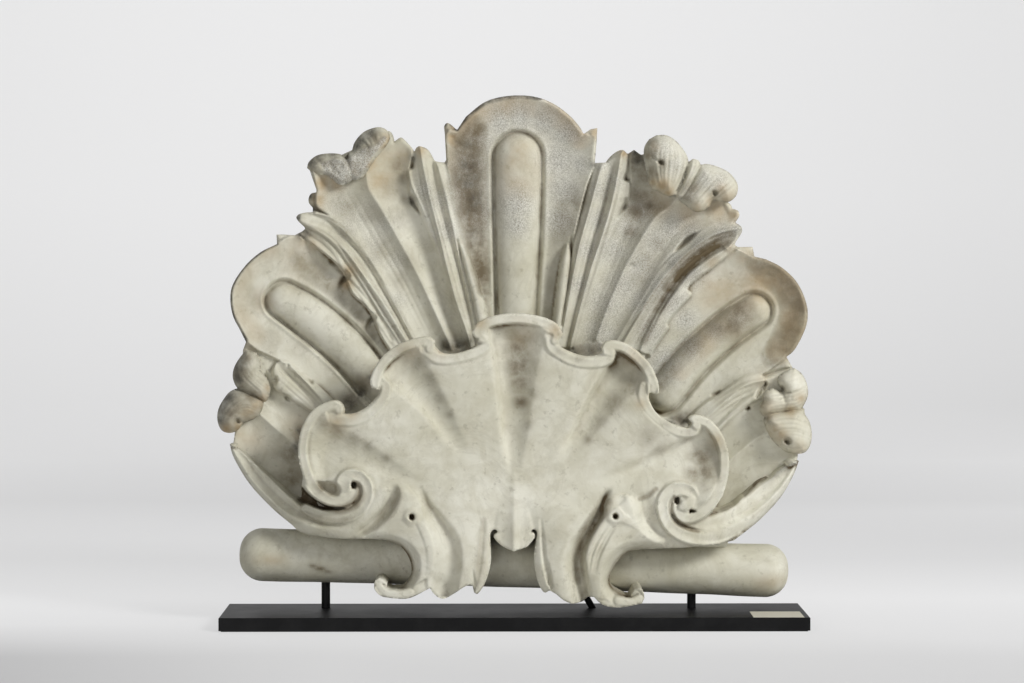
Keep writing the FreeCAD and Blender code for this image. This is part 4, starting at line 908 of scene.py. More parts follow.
def carve_notches(basin):
    """The rim's moulding in the notches between the scallops, and the hollow under its left end with painted
    shadow in it.
    """
    half = RIM_HALF
    notches = [
        [(331, 413, 4, 73), (334.5, 419.5, half, 74), (344, 421, half, 74), (356, 420.5, half, 74),
         (370, 413.5, half, 74), (382, 400.5, half, 74), (386.5, 387.5, half, 74), (383, 381.5, 4, 74)],
        [(424.5, 349.5, 4, 74), (430, 354, half, 75), (440, 359, half, 75), (456, 358.4, half, 75),
         (474, 353.6, half, 75), (485, 347, half, 75), (486, 340, 4, 75)],
        [(549, 337, 4, 75), (551, 346, half, 75), (560, 353.8, half, 75), (576, 361.5, half, 75),
         (594, 363, half, 75), (607.5, 360, half, 75), (612, 353, 4, 75)],
        [(643, 386, 4, 74), (643, 396, half, 74), (648, 408, half, 74), (661, 421, half, 74),
         (678, 431, half, 74), (692, 432, half, 74), (697, 427, 4, 74)],
    ]
    basin.stroke([(318, 486, 6), (325, 489, 9), (333, 490, 8)], -15, 1.0)
    # Painted shadow in the hollow under the rim's left end.
    basin.tint("dirt_and_shade", [(322, 487, 7), (331, 490, 7)], 0.85)
    for line in notches:
        basin.strip(line, dish=1.3, edge=2.2)


def carve_scallops(basin):
    """The moulding along the scallops, which curls over itself where a notch meets a lobe."""
    half = RIM_HALF
    lobes = [
        [(339, 410, 4, 77), (338, 405.5, half, 77), (331, 405, half, 77), (318, 411.5, half, 76),
         (307.5, 424.5, half, 76), (302.8, 444, half, 75), (303.6, 461, half, 74), (311, 482.5, half, 73),
         (321.5, 495, half, 73), (336, 502.5, half, 73), (350, 498.5, half, 73), (355.5, 490, 4, 72),
         (353, 485, 2.5, 70)],
        [(376, 386, 4, 77), (374.8, 381, half, 77), (379, 369, half, 77), (388, 357.5, half, 77),
         (404, 346.8, half, 77), (422, 341.5, half, 77), (430, 343.5, half, 77), (429.5, 349, 4, 77)],
        [(484, 339.5, 4, 78), (478.5, 336, half, 78), (478, 330.5, half, 78), (483, 325.3, half, 78),
         (496, 320.3, half, 78), (517.5, 318.2, 5.4, 78), (539, 321.5, half, 78), (552, 327, half, 78),
         (558, 334, half, 78), (555, 340.5, 4, 78)],
        [(611, 352.5, 4, 77), (606.5, 350, half, 77), (608, 345.8, half, 77), (614, 345, half, 77),
         (625, 348, half, 77), (637, 357, half, 77), (647, 368.5, half, 77), (653.3, 382.5, half, 77),
         (653, 391, 4, 76)],
        [(697, 426, 4, 77), (693.5, 421, half, 77), (699, 420, half, 77), (708, 423.6, half, 77),
         (717.5, 434.5, half, 77), (724, 452, half, 76), (724, 474, half, 75), (718.5, 493.5, half, 74),
         (708.5, 508, half, 73), (696, 516.5, half, 73), (684, 518, half, 73), (676, 511, 4, 73),
         (675.5, 503, 2.5, 70)],
    ]
    for line in lobes:
        basin.strip(line, dish=1.3, edge=2.2)


def weather_and_shade_basin(basin):
    """Dirt and warm wear on the dish with painted shade under the rim and on its right side, painted shade in
    the dark grooves, and the drilled eyes of the volutes.
    """
    # Painted shade with dirt under the rim, at the tops of the middle and upper left flutes.
    basin.tint("dirt_and_shade", [(512, 336, 12), (524, 346, 13), (530, 366, 11), (531, 392, 8), (529, 425, 5),
                        (404, 356, 10), (418, 362, 10), (430, 378, 8), (441, 398, 6), (450, 415, 4)], 0.45)
    # Painted shade with dirt under the rim, at the tops of the left and upper right flutes.
    basin.tint("dirt_and_shade", [
        (324, 424, 8), (338, 430, 11), (352, 438, 9), (368, 445, 6), (386, 458, 5), (640, 368, 10),
        (630, 384, 14), (614, 402, 13), (600, 422, 8), (588, 440, 5)], 0.5)
    # Painted shade with dirt under the middle lobe's rim and on the right flute, which faces away from the
    # light.
    basin.tint("dirt_and_shade", [(518, 350, 15), (519, 366, 14), (520, 384, 11), (521, 402, 8), (702, 456, 13),
                        (706, 472, 12), (694, 474, 9)], 0.9)
    # Painted shade with dirt on the dish's right side and beside the notches.
    basin.tint("dirt_and_shade", [(714, 448, 9), (712, 466, 10), (704, 484, 9), (648, 438, 12), (660, 450, 10),
                        (560, 350, 6), (580, 358, 6), (666, 424, 5), (690, 432, 6)], 0.4)
    # Tan wear with painted shade at the tops of the flutes under the rim.
    basin.tint("tan", [(520, 334, 12), (410, 350, 10), (336, 424, 10), (634, 356, 10), (716, 440, 8),
                       (480, 322, 8), (556, 330, 8), (352, 414, 7), (640, 404, 6), (440, 351, 8)], 0.6)
    # Painted shade in the dark grooves and creases of the volutes, the brackets and the hooks.
    shaded = [([(397, 490, 5), (395, 501, 7), (387, 513, 7.5), (377, 524, 6.5), (366, 532, 4)], 0.5),
              ([(358, 484, 4), (360.5, 493, 6), (356, 502, 6.5), (345, 508.5, 6), (330, 508.5, 5),
                (314, 503, 4)], 0.8), ([(608, 503, 6), (600, 514, 9), (590, 528, 9), (582, 545, 8),
                                        (578, 562, 7), (578, 580, 6)], 0.75),
              ([(674, 497, 2.5), (671.5, 504, 3.6), (672, 514, 3.8), (677, 522, 3.8), (687, 528, 3.4),
                (698, 531.5, 2.6)], 0.8), ([(300, 513, 4), (318, 519, 4.5), (336, 522, 4.5),
                                            (350, 518.5, 3.5)], 0.4),
              ([(484, 520, 4), (482, 545, 6), (479, 570, 6), (476, 586, 5)], 0.35),
              ([(640, 499, 3), (648, 496, 3.4), (656, 489, 3)], 0.7)]
    for line, force in shaded:
        basin.stroke(line, force, 0.8, "dirt_and_shade")
    eye_half, eye_deep = 2.8, 24
    for column, row in ((353.8, 484.5), (677.2, 500)):
        basin.stroke([(column, row - 0.5, eye_half), (column, row + 1.5, eye_half)], -eye_deep, 0.6)


def carve_basin():
    """The relief of the basin, its volutes and brackets."""
    basin = Sheet(basin_base())
    for carve in (carve_dish, carve_keel, carve_left_flank, carve_right_flank, groove_hooks):
        carve(basin)
    basin.height += basin.base
    basin.base = np.zeros(COLUMNS.shape)
    for carve in (carve_left_bracket, carve_right_bracket, drill_bosses, carve_left_volute,
                  carve_right_volute, carve_notches, carve_scallops, weather_and_shade_basin):
        carve(basin)
    return basin


# ---- meshes ----

def sampled(field, columns, rows):
    """A sheet's values between its samples."""
    x = np.clip(columns - FIRST_COLUMN, 0, SHEET_COLUMNS - 1.001)
    y = np.clip(rows - FIRST_ROW, 0, SHEET_ROWS - 1.001)
    column, row = x.astype(int), y.astype(int)
    fx, fy = x - column, y - row
    return between(field, row, column, fy, fx)


def edge_distance(line, reach=12):
    """Signed distance to an outline in columns, negative inside, exact within the reach."""
    held = inside(line, COLUMNS, ROWS)
    best = np.full(COLUMNS.shape, float(reach))
    closed = np.vstack([line, line[:1]])
    for a, b in zip(closed[:-1], closed[1:]):
        part = patch(np.minimum(a, b) - reach, np.maximum(a, b) + reach)
        along = b - a
        length = max(along @ along, 1e-9)
        u, v = COLUMNS[part] - a[0], ROWS[part] - a[1]
        t = np.clip((u * along[0] + v * along[1]) / length, 0, 1)
        best[part] = np.minimum(best[part], np.hypot(u - t * along[0], v - t * along[1]))
    return np.where(held, -best, best)


def new_piece(name, points, faces, body):
    """A mesh object that rides on a body; points in metres."""
    mesh = bpy.data.meshes.new(name)
    points = np.asarray(points, np.float32)
    mesh.vertices.add(len(points))
    mesh.vertices.foreach_set("co", points.ravel())
    sizes = np.array([len(face) for face in faces], np.int32)
    corners = np.concatenate([np.asarray(face, np.int32) for face in faces])
    mesh.loops.add(len(corners))
    mesh.loops.foreach_set("vertex_index", corners)
    mesh.polygons.add(len(sizes))
    mesh.polygons.foreach_set("loop_start", np.concatenate([[0], np.cumsum(sizes)[:-1]]).astype(np.int32))
    mesh.polygons.foreach_set("use_smooth", np.ones(len(sizes), bool))
    mesh.update(calc_edges=True)
    mesh.validate()
    piece = bpy.data.objects.new(name, mesh)
    bpy.context.scene.collection.objects.link(piece)
    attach(piece, body)
    return piece


def snapped_cells(signed, step):
    """Grid points of the sheet inside an edge, with the rim's points moved onto it, and the cells."""
    rows = np.arange(0, SHEET_ROWS - 1, step)
    columns = np.arange(0, SHEET_COLUMNS - 1, step)
    u, v = np.meshgrid(columns + FIRST_COLUMN, rows + FIRST_ROW)
    gap = sampled(signed, u, v)
    near = np.abs(gap) < 0.75 * step
    slope_v, slope_u = np.gradient(signed)
    du, dv = sampled(slope_u, u, v), sampled(slope_v, u, v)
    long = np.maximum(np.hypot(du, dv), 0.3)
    u = np.where(near, u - gap * du / long, u)
    v = np.where(near, v - gap * dv / long, v)
    kept = gap < 0.75 * step
    cells = kept[:-1, :-1] & kept[1:, :-1] & kept[:-1, 1:] & kept[1:, 1:]
    return u, v, cells


def slab(name, signed, front, back, body, step, marks, top_limit=None):
    """A closed piece between a front relief and a back one, both as millimetres forward."""
    deepest_lip, thin_lip, rear_dirt = 0.0015, 0.3, 0.25
    u, v, cells = snapped_cells(signed, step)
    numbers = np.arange(u.size).reshape(u.shape)
    a, b = numbers[:-1, :-1][cells], numbers[1:, :-1][cells]
    c, d = numbers[1:, 1:][cells], numbers[:-1, 1:][cells]
    quads = np.stack([a, b, c, d], 1)
    used, flat = np.unique(quads, return_inverse=True)
    quads = flat.reshape(quads.shape)
    u, v = u.ravel()[used], v.ravel()[used]
    ahead = sampled(front, u, v)
    behind = np.minimum(sampled(back, u, v), ahead - 0.5)
    face = stand_up(u, v, ahead)
    rear = face.copy()
    rear[:, 1] = -behind / 1000.0
    count = len(used)
    sides = np.concatenate([quads[:, [0, 1]], quads[:, [1, 2]], quads[:, [2, 3]], quads[:, [3, 0]]])
    keys = sides[:, 0].astype(np.int64) * count + sides[:, 1]
    twins = sides[:, 1].astype(np.int64) * count + sides[:, 0]
    rim = sides[~np.isin(keys, twins)]
    border, ends = np.unique(rim, return_inverse=True)
    ends = ends.reshape(rim.shape)
    lip = np.minimum(deepest_lip, thin_lip * (rear[border, 1] - face[border, 1]))[:, None] * (0, 1, 0)
    points = np.vstack([face, rear, face[border] + lip, rear[border] - lip])
    rings = [rim, ends + 2 * count, ends + 2 * count + len(border), rim + count]
    walls = np.vstack([np.stack([near[:, 1], near[:, 0], far[:, 0], far[:, 1]], 1)
                       for near, far in zip(rings, rings[1:])])
    if top_limit:
        points[:, 2] = np.minimum(points[:, 2], top_limit)
    faces = np.vstack([quads, quads[:, ::-1] + count, walls])
    piece = new_piece(name, points, list(faces), body)
    for mark, values in marks.items():
        layer = piece.data.attributes.new(mark, "FLOAT", "POINT")
        rear_value = rear_dirt if mark == "dirt_and_shade" else 0.0
        seen = sampled(values, u, v)
        both = np.concatenate([seen, np.full(count, rear_value),
                               seen[border], np.full(len(border), rear_value)])
        layer.data.foreach_set("value", both.astype(np.float32))
    return piece


def rounded(signed, radius):
    """How far a rounded edge falls back, in millimetres, from the signed distance in columns."""
    roundest = 0.98
    depth = np.clip(1 + signed / radius, 0, 1)
    return radius * COLUMN_MM * (1 - np.sqrt(1 - depth ** 2 * roundest))


# ---- materials ----

class Shader:
    """A node material under construction."""

    def __init__(self, name, **sockets):
        self.material = bpy.data.materials.new(name)
        self.material.use_nodes = True
        self.tree = self.material.node_tree
        self.surface = self.tree.nodes["Principled BSDF"]
        self.set(self.surface, **sockets)

    def set(self, made, **sockets):
        """Sets a node's sockets by name, with _ for spaces; another node or socket is linked in."""
        for name, value in sockets.items():
            socket = made.inputs[int(name[1:])] if name[1:].isdigit() else made.inputs[name.replace("_", " ")]
            if isinstance(value, bpy.types.Node):
                value = value.outputs[0]
            if isinstance(value, bpy.types.NodeSocket):
                self.tree.links.new(value, socket)
            else:
                socket.default_value = value
        return made

    def node(self, kind, settings=(), **sockets):
        """A new node of a kind, with its settings and sockets."""
        made = self.tree.nodes.new(f"ShaderNode{kind}")
        for name, value in dict(settings).items():
            setattr(made, name, value)
        return self.set(made, **sockets)

    def place(self):
        """Where a point lies on its piece, in metres."""
        return self.node("TexCoord").outputs["Object"]

    def noise(self, scale, detail, rough, vector=None, distort=0.0):
        """Soft noise of a scale per metre."""
        return self.node("TexNoise", Vector=vector or self.place(), Scale=scale, Detail=detail,
                         Roughness=rough, Distortion=distort)

    def ramp(self, value, low, high):
        """0 where the value is low, 1 where it is high."""
        return self.node("MapRange", _0=value, _1=low, _2=high)

    def math(self, operation, first, second=0.5):
        """One sum on two values."""
        return self.node("Math", {"operation": operation}, _0=first, _1=second)

    def mix(self, share, first, second):
        """The first colour, with a share of the second."""
        return self.node("Mix", {"data_type": "RGBA"}, _0=share, _6=first, _7=second).outputs[2]

    def mark(self, name):
        """A mark that a piece carries on its points."""
        return self.node("Attribute", {"attribute_name": name}).outputs["Fac"]

    def bump(self, height, strength, distance, before=None):
        """A fine unevenness of a depth in metres, over another one."""
        sockets = {"Height": height, "Strength": strength, "Distance": distance}
        if before:
            sockets["Normal"] = before
        return self.node("Bump", **sockets)


def tone(red, green, blue):
    """A colour written as sRGB numbers from 0 to 255."""
    parts = [part / 255 for part in (red, green, blue)]
    return tuple(p / 12.92 if p < 0.04 else ((p + 0.055) / 1.055) ** 2.4 for p in parts) + (1.0,)


def marble():
    """Old white marble: cloudy cream, tan lips, brown dirt in the hollows, sugary grey weathering, and
    painted shade laid in through the tan, dirt and soot marks.
    """
    s = Shader("marble_weathered", IOR=1.5, Specular_IOR_Level=0.35)
    clouds = s.ramp(s.noise(6.5, 5, 0.6, distort=0.6), 0.36, 0.66)
    mottle = s.ramp(s.noise(30, 5, 0.65, distort=0.5), 0.42, 0.66)
    spots = s.ramp(s.noise(85, 4, 0.6), 0.60, 0.70)
    veins = s.math("ABSOLUTE", s.math("SUBTRACT", s.noise(7.5, 6, 0.62, distort=1.6), 0.5))
    speck = s.noise(520, 3, 0.7)
    cream = tone(219, 217, 203)
    cloud = tone(196, 193, 174)
    blotch = tone(174, 168, 143)
    spot = tone(128, 122, 100)
    vein = tone(142, 136, 114)
    worn_tan_and_shade = tone(168, 143, 104)
    dull_grain = tone(128, 124, 112)
    bright_grain = tone(214, 213, 206)
    brown_dirt_and_shade = tone(104, 91, 68)
    black_soot_and_shade = tone(52, 49, 42)
    colour = s.mix(clouds, cream, cloud)
    colour = s.mix(s.math("MULTIPLY", mottle, 0.42), colour, blotch)
    colour = s.mix(s.math("MULTIPLY", spots, 0.30), colour, spot)
    colour = s.mix(s.math("MULTIPLY", s.ramp(veins, 0.035, 0.0), 0.13), colour, vein)
    # Tan wear, and painted shade where the tan mark is laid on faces turned from the light.
    tan = s.math("MULTIPLY", s.mark("tan"), s.ramp(s.noise(17, 4, 0.6), 0.25, 0.62))
    colour = s.mix(tan, colour, worn_tan_and_shade)
    sugar = s.mark("sugar")
    crystals = s.ramp(speck, 0.36, 0.62)
    colour = s.mix(s.math("MULTIPLY", sugar, 0.8), colour, s.mix(crystals, dull_grain, bright_grain))
    # Brown dirt, and painted shade where the dirt mark is laid in shadows and pockets.
    dirt_and_shade = s.math("MULTIPLY", s.mark("dirt_and_shade"), s.ramp(s.noise(46, 5, 0.65), 0.1, 0.6))
    colour = s.mix(dirt_and_shade, colour, brown_dirt_and_shade)
    # Soot-dark patina, and painted shade along edges turned from the light and in deep notches and pockets.
    soot_and_shade = s.math("MULTIPLY", s.mark("soot_and_shade"), s.ramp(s.noise(60, 5, 0.7), 0.2, 0.6))
    colour = s.mix(soot_and_shade, colour, black_soot_and_shade)
    pits = s.ramp(s.noise(180, 4, 0.75), 0.60, 0.78)
    grit = s.math("MULTIPLY", speck, s.math("ADD", s.math("MULTIPLY", sugar, 0.9), 0.10))
    rough_skin = s.bump(s.noise(75, 5, 0.6), 0.35, 0.0012)
    skin = s.bump(grit, 0.8, 0.0009, rough_skin)
    skin = s.bump(pits, -0.5, 0.0006, skin)
    rough = s.ramp(s.noise(60, 4, 0.6), -0.6, 1.6)
    s.set(s.surface, Base_Color=colour, Roughness=s.node("MapRange", _0=rough, _3=0.5, _4=0.82), Normal=skin)
    return s.material


def steel(name, colour, rough):
    """Steel with a fine satin paint: faint orange peel, dust and rubbed streaks."""
    s = Shader(name, Metallic=0.0, IOR=1.5, Specular_IOR_Level=0.15)
    dust = s.ramp(s.noise(30, 5, 0.6), 0.45, 0.75)
    paint = s.mix(s.math("MULTIPLY", dust, 0.25), colour, tone(48, 48, 48))
    peel = s.bump(s.noise(900, 2, 0.5), 0.15, 0.0002)
    spread = s.node("MapRange", _0=s.noise(14, 4, 0.6), _3=rough - 0.08, _4=rough + 0.12)
    s.set(s.surface, Base_Color=paint, Roughness=spread, Normal=peel)
    return s.material


def bright_screw():
    """Bare steel screws, faintly brushed."""
    s = Shader("screw_steel", Metallic=1.0, Base_Color=tone(168, 168, 166))
    lines = s.noise(60, 2, 0.5, s.node("Mapping", Vector=s.place(), Scale=(1, 1, 20)))
    s.set(s.surface, Roughness=s.node("MapRange", _0=lines, _3=0.28, _4=0.45),
          Normal=s.bump(lines, 0.2, 0.0002))
    return s.material


def felt():
    """Black wool felt."""
    s = Shader("felt_black", Roughness=0.95, Sheen_Weight=0.4)
    hair = s.noise(700, 6, 0.75, distort=1.2)
    s.set(s.surface, Base_Color=s.mix(hair, tone(22, 22, 24), tone(48, 48, 50)),
          Normal=s.bump(hair, 0.7, 0.0006))
    return s.material


def paper():
    """Cream card stock, blank, with paper fibres."""
    s = Shader("card_cream", Roughness=0.85)
    fibre = s.noise(300, 6, 0.7, distort=0.8)
    s.set(s.surface, Base_Color=s.mix(fibre, tone(196, 192, 176), tone(212, 208, 194)),
          Normal=s.bump(fibre, 0.25, 0.0002))
    return s.material


def dress(piece, material):
    """Gives a piece or a CAD node one material."""
    piece.data.materials.clear()
    piece.data.materials.append(material)


# ---- pieces of marble ----

STEP = 1
"""How many samples of the sheet lie between two points of a mesh."""


def hollow_dirt_and_shade(height, seed):
    """Where dirt gathers and painted shade falls: places that lie lower than what is around them, broken up.
    """
    groove, hollow = 2.5, 9
    deep = blurred(height, groove) - height
    wide = blurred(height, hollow) - height
    gathered = np.clip((deep - 0.5) / 7, 0, 0.8) + np.clip((wide - 3) / 22, 0, 0.6)
    return np.clip(gathered, 0, 1) * np.clip(0.8 + 0.35 * grain(seed, 14), 0.25, 1.1)


def build_fan(stone):
    """The fan as one closed piece with a flat back."""
    edge_round, wear, uneven = 4.2, 0.55, 0.25
    back, top = -70.0, 0.7835
    fan = carve_fan()
    signed = edge_distance(FAN_OUTLINE)
    skin = blurred(fan.base + fan.height, wear)
    front = skin - rounded(signed, edge_round) + uneven * grain(3, 9)
    # Dirt with painted shade in the fan's hollows.
    fan.marks["dirt_and_shade"] = np.maximum(fan.marks["dirt_and_shade"], hollow_dirt_and_shade(np.where(signed < 0, skin, skin - 6), 5))
    piece = slab("fan_marble", signed, front, np.full(COLUMNS.shape, back), "carving", STEP, fan.marks,
                 top_limit=top)
    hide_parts("back_shell")
    dress(piece, stone)
    return piece


def carried_on(height, held, reach):
    """The heights inside an outline, carried on a little way past it."""
    weight = blurred(held.astype(float), reach)
    return np.where(held, height, blurred(np.where(held, height, 0.0), reach) / np.maximum(weight, 1e-4))


def build_basin(stone):
    """The basin with its brackets and volutes, thin where it stands clear of the fan."""
    edge_round, wear, uneven, furthest = 2.2, 0.55, 0.2, 83.8
    thick, clear, foot_deep, dirtier_and_shadier = 24, 30, 55, 1.3
    middle, side, roll_half = 514, 208, 160
    basin = carve_basin()
    signed = edge_distance(BASIN_OUTLINE)
    skin = blurred(carried_on(carried_on(basin.height, signed < 0, 1.2), signed < 2.5, 6), wear)
    front = np.minimum(skin - rounded(signed, edge_round) + uneven * grain(7, 12), furthest)
    aside = np.abs(COLUMNS - middle)
    low = np.maximum(ramp(ROWS, 450, 484), ramp(aside, side, side + 6) * ramp(ROWS, 440, 452))
    behind = np.maximum(blurred(skin, 6) - thick, clear) * (1 - low) - foot_deep * low
    behind = behind * (1 - ramp(ROWS, 528, 536) * (aside < roll_half))
    # Dirt with painted shade, made stronger, in the basin's hollows.
    basin.marks["dirt_and_shade"] = np.maximum(basin.marks["dirt_and_shade"], dirtier_and_shadier * hollow_dirt_and_shade(skin, 6))
    piece = slab("basin_marble", signed, front, behind, "carving", STEP, basin.marks)
    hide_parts("basin_shell", "left_bracket", "right_bracket")
    dress(piece, stone)
    return piece


def build_curl(name, node, lobes, stone, carve, seed):
    """A rolled-over leaf end: swelling lobes of (outline, axis, swell), with what is carved in them."""
    reach, far, flatter = 30, 400.0, 0.8
    signed = np.full(COLUMNS.shape, float(reach))
    front = np.full(COLUMNS.shape, -far)
    back = np.full(COLUMNS.shape, far)
    for points, axis, swell in lobes:
        gap = edge_distance(outline(points), reach)
        share = np.clip(-gap / max(-gap.min(), 1), 0, 1)
        bulge = swell * np.sqrt(1 - (1 - share) ** 2)
        signed = np.minimum(signed, gap)
        front = np.where(gap < 0, np.maximum(front, axis + bulge), front)
        back = np.where(gap < 0, np.minimum(back, axis - flatter * bulge - 2), back)
    relief = Relief(np.zeros(COLUMNS.shape))
    relief.height = np.where(signed < 0, front, 0)
    carve(relief)
    relief.height += 0.35 * grain(seed, 6)
    skin = np.where(signed < 0, blurred(np.where(signed < 0, relief.height, -6), 0.6), 0)
    around = np.where(signed < 0, skin, blurred(skin, 3))
    marks = relief.marks
    # Dirt with painted shade in the curl's hollows.
    marks["dirt_and_shade"] = np.maximum(marks["dirt_and_shade"], hollow_dirt_and_shade(around, seed + 2) * 0.8)
    rest = np.where(signed < 0, back, -8)
    piece = slab(name, signed, around, np.minimum(rest, around), "carving", STEP, marks)
    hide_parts(node)
    dress(piece, stone)
    return piece


def carve_left_curl(curl):
    """Furrows, a ring and a drilled hole on the left curl, with soot-dark patina and painted shade on its
    left side.
    """
    curl.stroke([(236, 389, 2.2), (245, 392.5, 2.6), (254, 396, 2.6), (262, 400, 2)], -5)
    curl.comb([(266, 397), (256, 388), (246, 379), (240, 369)],
              [(266, 383), (258, 378), (251, 370), (247, 360)], 4, 1.3, 1.4, 61, 0.25)
    curl.comb([(261, 403), (247, 399), (233, 404), (222, 417)],
              [(255, 416), (245, 413), (234, 417), (225, 429)], 6, 1.5, 3.2, 62, 0.5)
    curl.stroke([(254.3, 372, 1.3), (256, 369.6, 1.3), (259.5, 370, 1.3), (261.3, 373, 1.3),
                 (260, 376.5, 1.3), (257, 377.3, 1.3), (254.8, 375.5, 1.3)], -2.5)
    curl.stroke([(238, 420.5, 2.2), (238.2, 422, 2.2)], -14, 0.6)
    curl.stroke([(239, 421, 1.6), (244, 422.5, 1.8), (250, 420.5, 1.8), (256, 417.5, 1.4)], -4)
    # Soot-dark patina with painted shade on the curl's left side, which faces away from the light.
    curl.tint("soot_and_shade", [(236, 366, 9), (238, 378, 8), (240, 389, 5), (228, 398, 9), (222, 408, 8),
                       (221, 420, 6)], 0.75)
    curl.tint("dirt_and_shade", [(246, 358, 10), (243, 376, 12), (236, 402, 12), (232, 414, 12), (250, 396, 8)], 0.8)
    curl.tint("tan", [(262, 398, 8), (256, 404, 9), (248, 412, 9), (226, 430, 8), (240, 428, 7),
                      (268, 388, 5)], 0.9)


def carve_right_curl(curl):
    """Furrows, a ring and drilled holes on the right curl."""
    curl.comb([(764, 412), (780, 409), (793, 408), (804, 403)],
              [(768, 396), (784, 394), (796, 391), (806, 386)], 5, 1.2, 1.5, 63, 0.3)
    curl.comb([(784, 384), (792, 383), (799, 380), (805, 377)],
              [(786, 376), (791, 374), (796, 372), (800, 371)], 2, 1.2, 0.9, 64, 0.12)
    curl.comb([(768, 423), (782, 420), (795, 420), (807, 424)],
              [(772, 440), (786, 436), (798, 436), (810, 440)], 5, 1.2, 1.3, 65, 0.3)
    curl.stroke([(777.8, 383.6, 1.8), (781, 388, 2.2), (784, 391.4, 2), (790, 393, 1.2)], -5)
    curl.stroke([(782.2, 388.6, 2.3), (782.6, 389.6, 2.3)], -16, 0.6)
    curl.stroke([(786.5, 440.5, 3.4), (788.5, 441.8, 3.4)], -7, 1.0)
    curl.stroke([(786.6, 442, 1.9), (787.8, 442.5, 1.9)], -12, 0.6)
    curl.stroke([(784, 446, 1.4), (790, 448.5, 1.4), (798, 449, 1.4), (807, 446, 1.2)], -3)
    curl.stroke([(762, 415.5, 1.6), (780, 412, 1.6), (792, 411, 1.4), (803, 410, 1.6)], -3)
    curl.tint("tan", [(768, 404, 9), (770, 412, 8), (772, 430, 9), (800, 398, 6), (790, 410, 7),
                      (800, 449, 8), (780, 437, 8)], 0.75)
    curl.tint("dirt_and_shade", [(767, 418, 6), (782, 389, 4), (787, 441, 5), (762, 400, 3)], 0.7)


def carve_upper_right_curl(curl):
    """The fine ribs, the clefts and the drilled holes of the upper right curl."""
    curl.comb([(655, 138), (650, 152), (652, 170), (660, 190)],
              [(681, 148), (684, 162), (680, 178), (673, 192)], 8, 1.4, 1.6, 66, 0.35)
    curl.comb([(703, 166), (693, 180), (684, 194), (681, 201)],
              [(733, 184), (726, 190), (716, 198), (705, 210)], 8, 1.4, 1.8, 67, 0.4)
    curl.stroke([(690.5, 158, 1.5), (689, 168, 1.8), (683, 182, 1.8), (677, 193, 1.5)], -5)
    curl.stroke([(695.5, 161, 1.2), (693, 170, 1.4), (687, 183, 1.4), (680, 194.5, 1.2)], -3)
    curl.stroke([(700.5, 163, 1.5), (697, 172, 1.8), (689.5, 186, 1.8), (681, 199, 1.5)], -5)
    curl.stroke([(661, 162, 2.4), (661.4, 162.8, 2.4)], -14, 0.6)
    curl.stroke([(652, 157, 1.6), (657, 160.5, 2), (660, 163, 2)], -4)
    curl.stroke([(714.5, 192.4, 2.3), (714.9, 193.2, 2.3)], -14, 0.6)
    curl.stroke([(714, 197, 2), (711, 203, 2.2), (706, 209, 1.8)], -4)
    curl.tint("sugar", [(664, 150, 14), (674, 165, 12), (706, 180, 12), (720, 180, 10), (690, 192, 8)], 0.75)
    curl.tint("dirt_and_shade", [(652, 142, 6), (648, 155, 7), (652, 172, 8), (692, 190, 9), (686, 198, 7),
                       (662, 165, 5), (714, 194, 4)], 0.75)
    curl.tint("tan", [(662, 186, 9), (668, 192, 7), (652, 182, 6), (698, 208, 7), (710, 202, 8),
                      (728, 197, 9), (722, 188, 7), (655, 148, 5)], 0.9)


def carve_broken_curl(curl):
    """The upper left curl, whose face is broken away."""
    face = inside(outline([(320, 163), (331, 160), (344.7, 159.5), (353, 155), (363.6, 148), (373.8, 146)],
                          [(384, 136), (386.5, 139), (372, 158), (365.3, 171.3), (358.4, 179)],
                          [(346.4, 184.5), (339.6, 184.5), (331, 178), (325, 175)]), COLUMNS, ROWS)
    share = blurred(face.astype(float), 1.0)
    broken = 7 + 1.1 * grain(71, 9) + 0.9 * grain(72, 3) - 0.10 * np.abs(COLUMNS - 346)
    curl.height += (np.minimum(broken, curl.height) - curl.height) * share
    curl.marks["sugar"] = np.maximum(curl.marks["sugar"], 0.95 * share)
    curl.marks["dirt_and_shade"] = np.maximum(curl.marks["dirt_and_shade"], 0.55 * share * np.clip(0.5 + 0.6 * grain(73, 7),
                                                                               0, 1))
    curl.comb([(360, 139), (364, 142), (367, 146), (370, 149)],
              [(377, 130), (379, 135), (380, 139), (381, 143)], 5, 1.3, 2.2, 68, 0.5)
    curl.comb([(310, 168), (315, 171), (321, 173), (326, 174)],
              [(313, 158), (317, 160), (321, 161), (325, 161)], 3, 1.3, 1.2, 69, 0.3)
    curl.stroke([(344, 149, 3), (346.5, 154, 3), (347, 158, 2)], -9)
    # Soot-dark patina with painted shade on the curl's top and left side.
    curl.tint("soot_and_shade", [(361, 140, 9), (357, 147, 7), (369, 133, 8), (345, 155, 5), (334, 155, 7),
                       (320, 157, 7), (312, 163, 6)], 0.85)
    curl.tint("dirt_and_shade", [(315, 168, 8), (375, 138, 8), (368, 146, 6)], 0.7)
    curl.tint("tan", [(388, 140, 7), (384, 146, 6), (312, 176, 6), (330, 180, 6), (370, 165, 5)], 0.9)


def build_left_curl(stone):
    """The left curl: a leaf end and the lobe rolled over under it."""
    upper = [
        (246, 350), (239.5, 358), (234.6, 366.3), (232.6, 375.4), (234.6, 383.6), (238.5, 389), (246, 393),
        (256, 398), (265.5, 402), (269.2, 394), (269.6, 387), (266.5, 379), (261, 371.5), (259.5, 362),
        (256, 353)]
    lower = [
        (262.5, 399), (262.8, 406), (259.5, 414), (253, 419.5), (246, 422), (241, 425.5), (237.5, 430.5),
        (230, 433), (222.5, 431), (218.6, 425), (217.2, 416.5), (219, 407.4), (224, 398.6), (229.7, 391.8),
        (238, 388.5), (247, 391), (255.5, 395)]
    build_curl("curl_left", "left_curl", [(upper, -6, 26), (lower, -6, 30)], stone, carve_left_curl, 21)


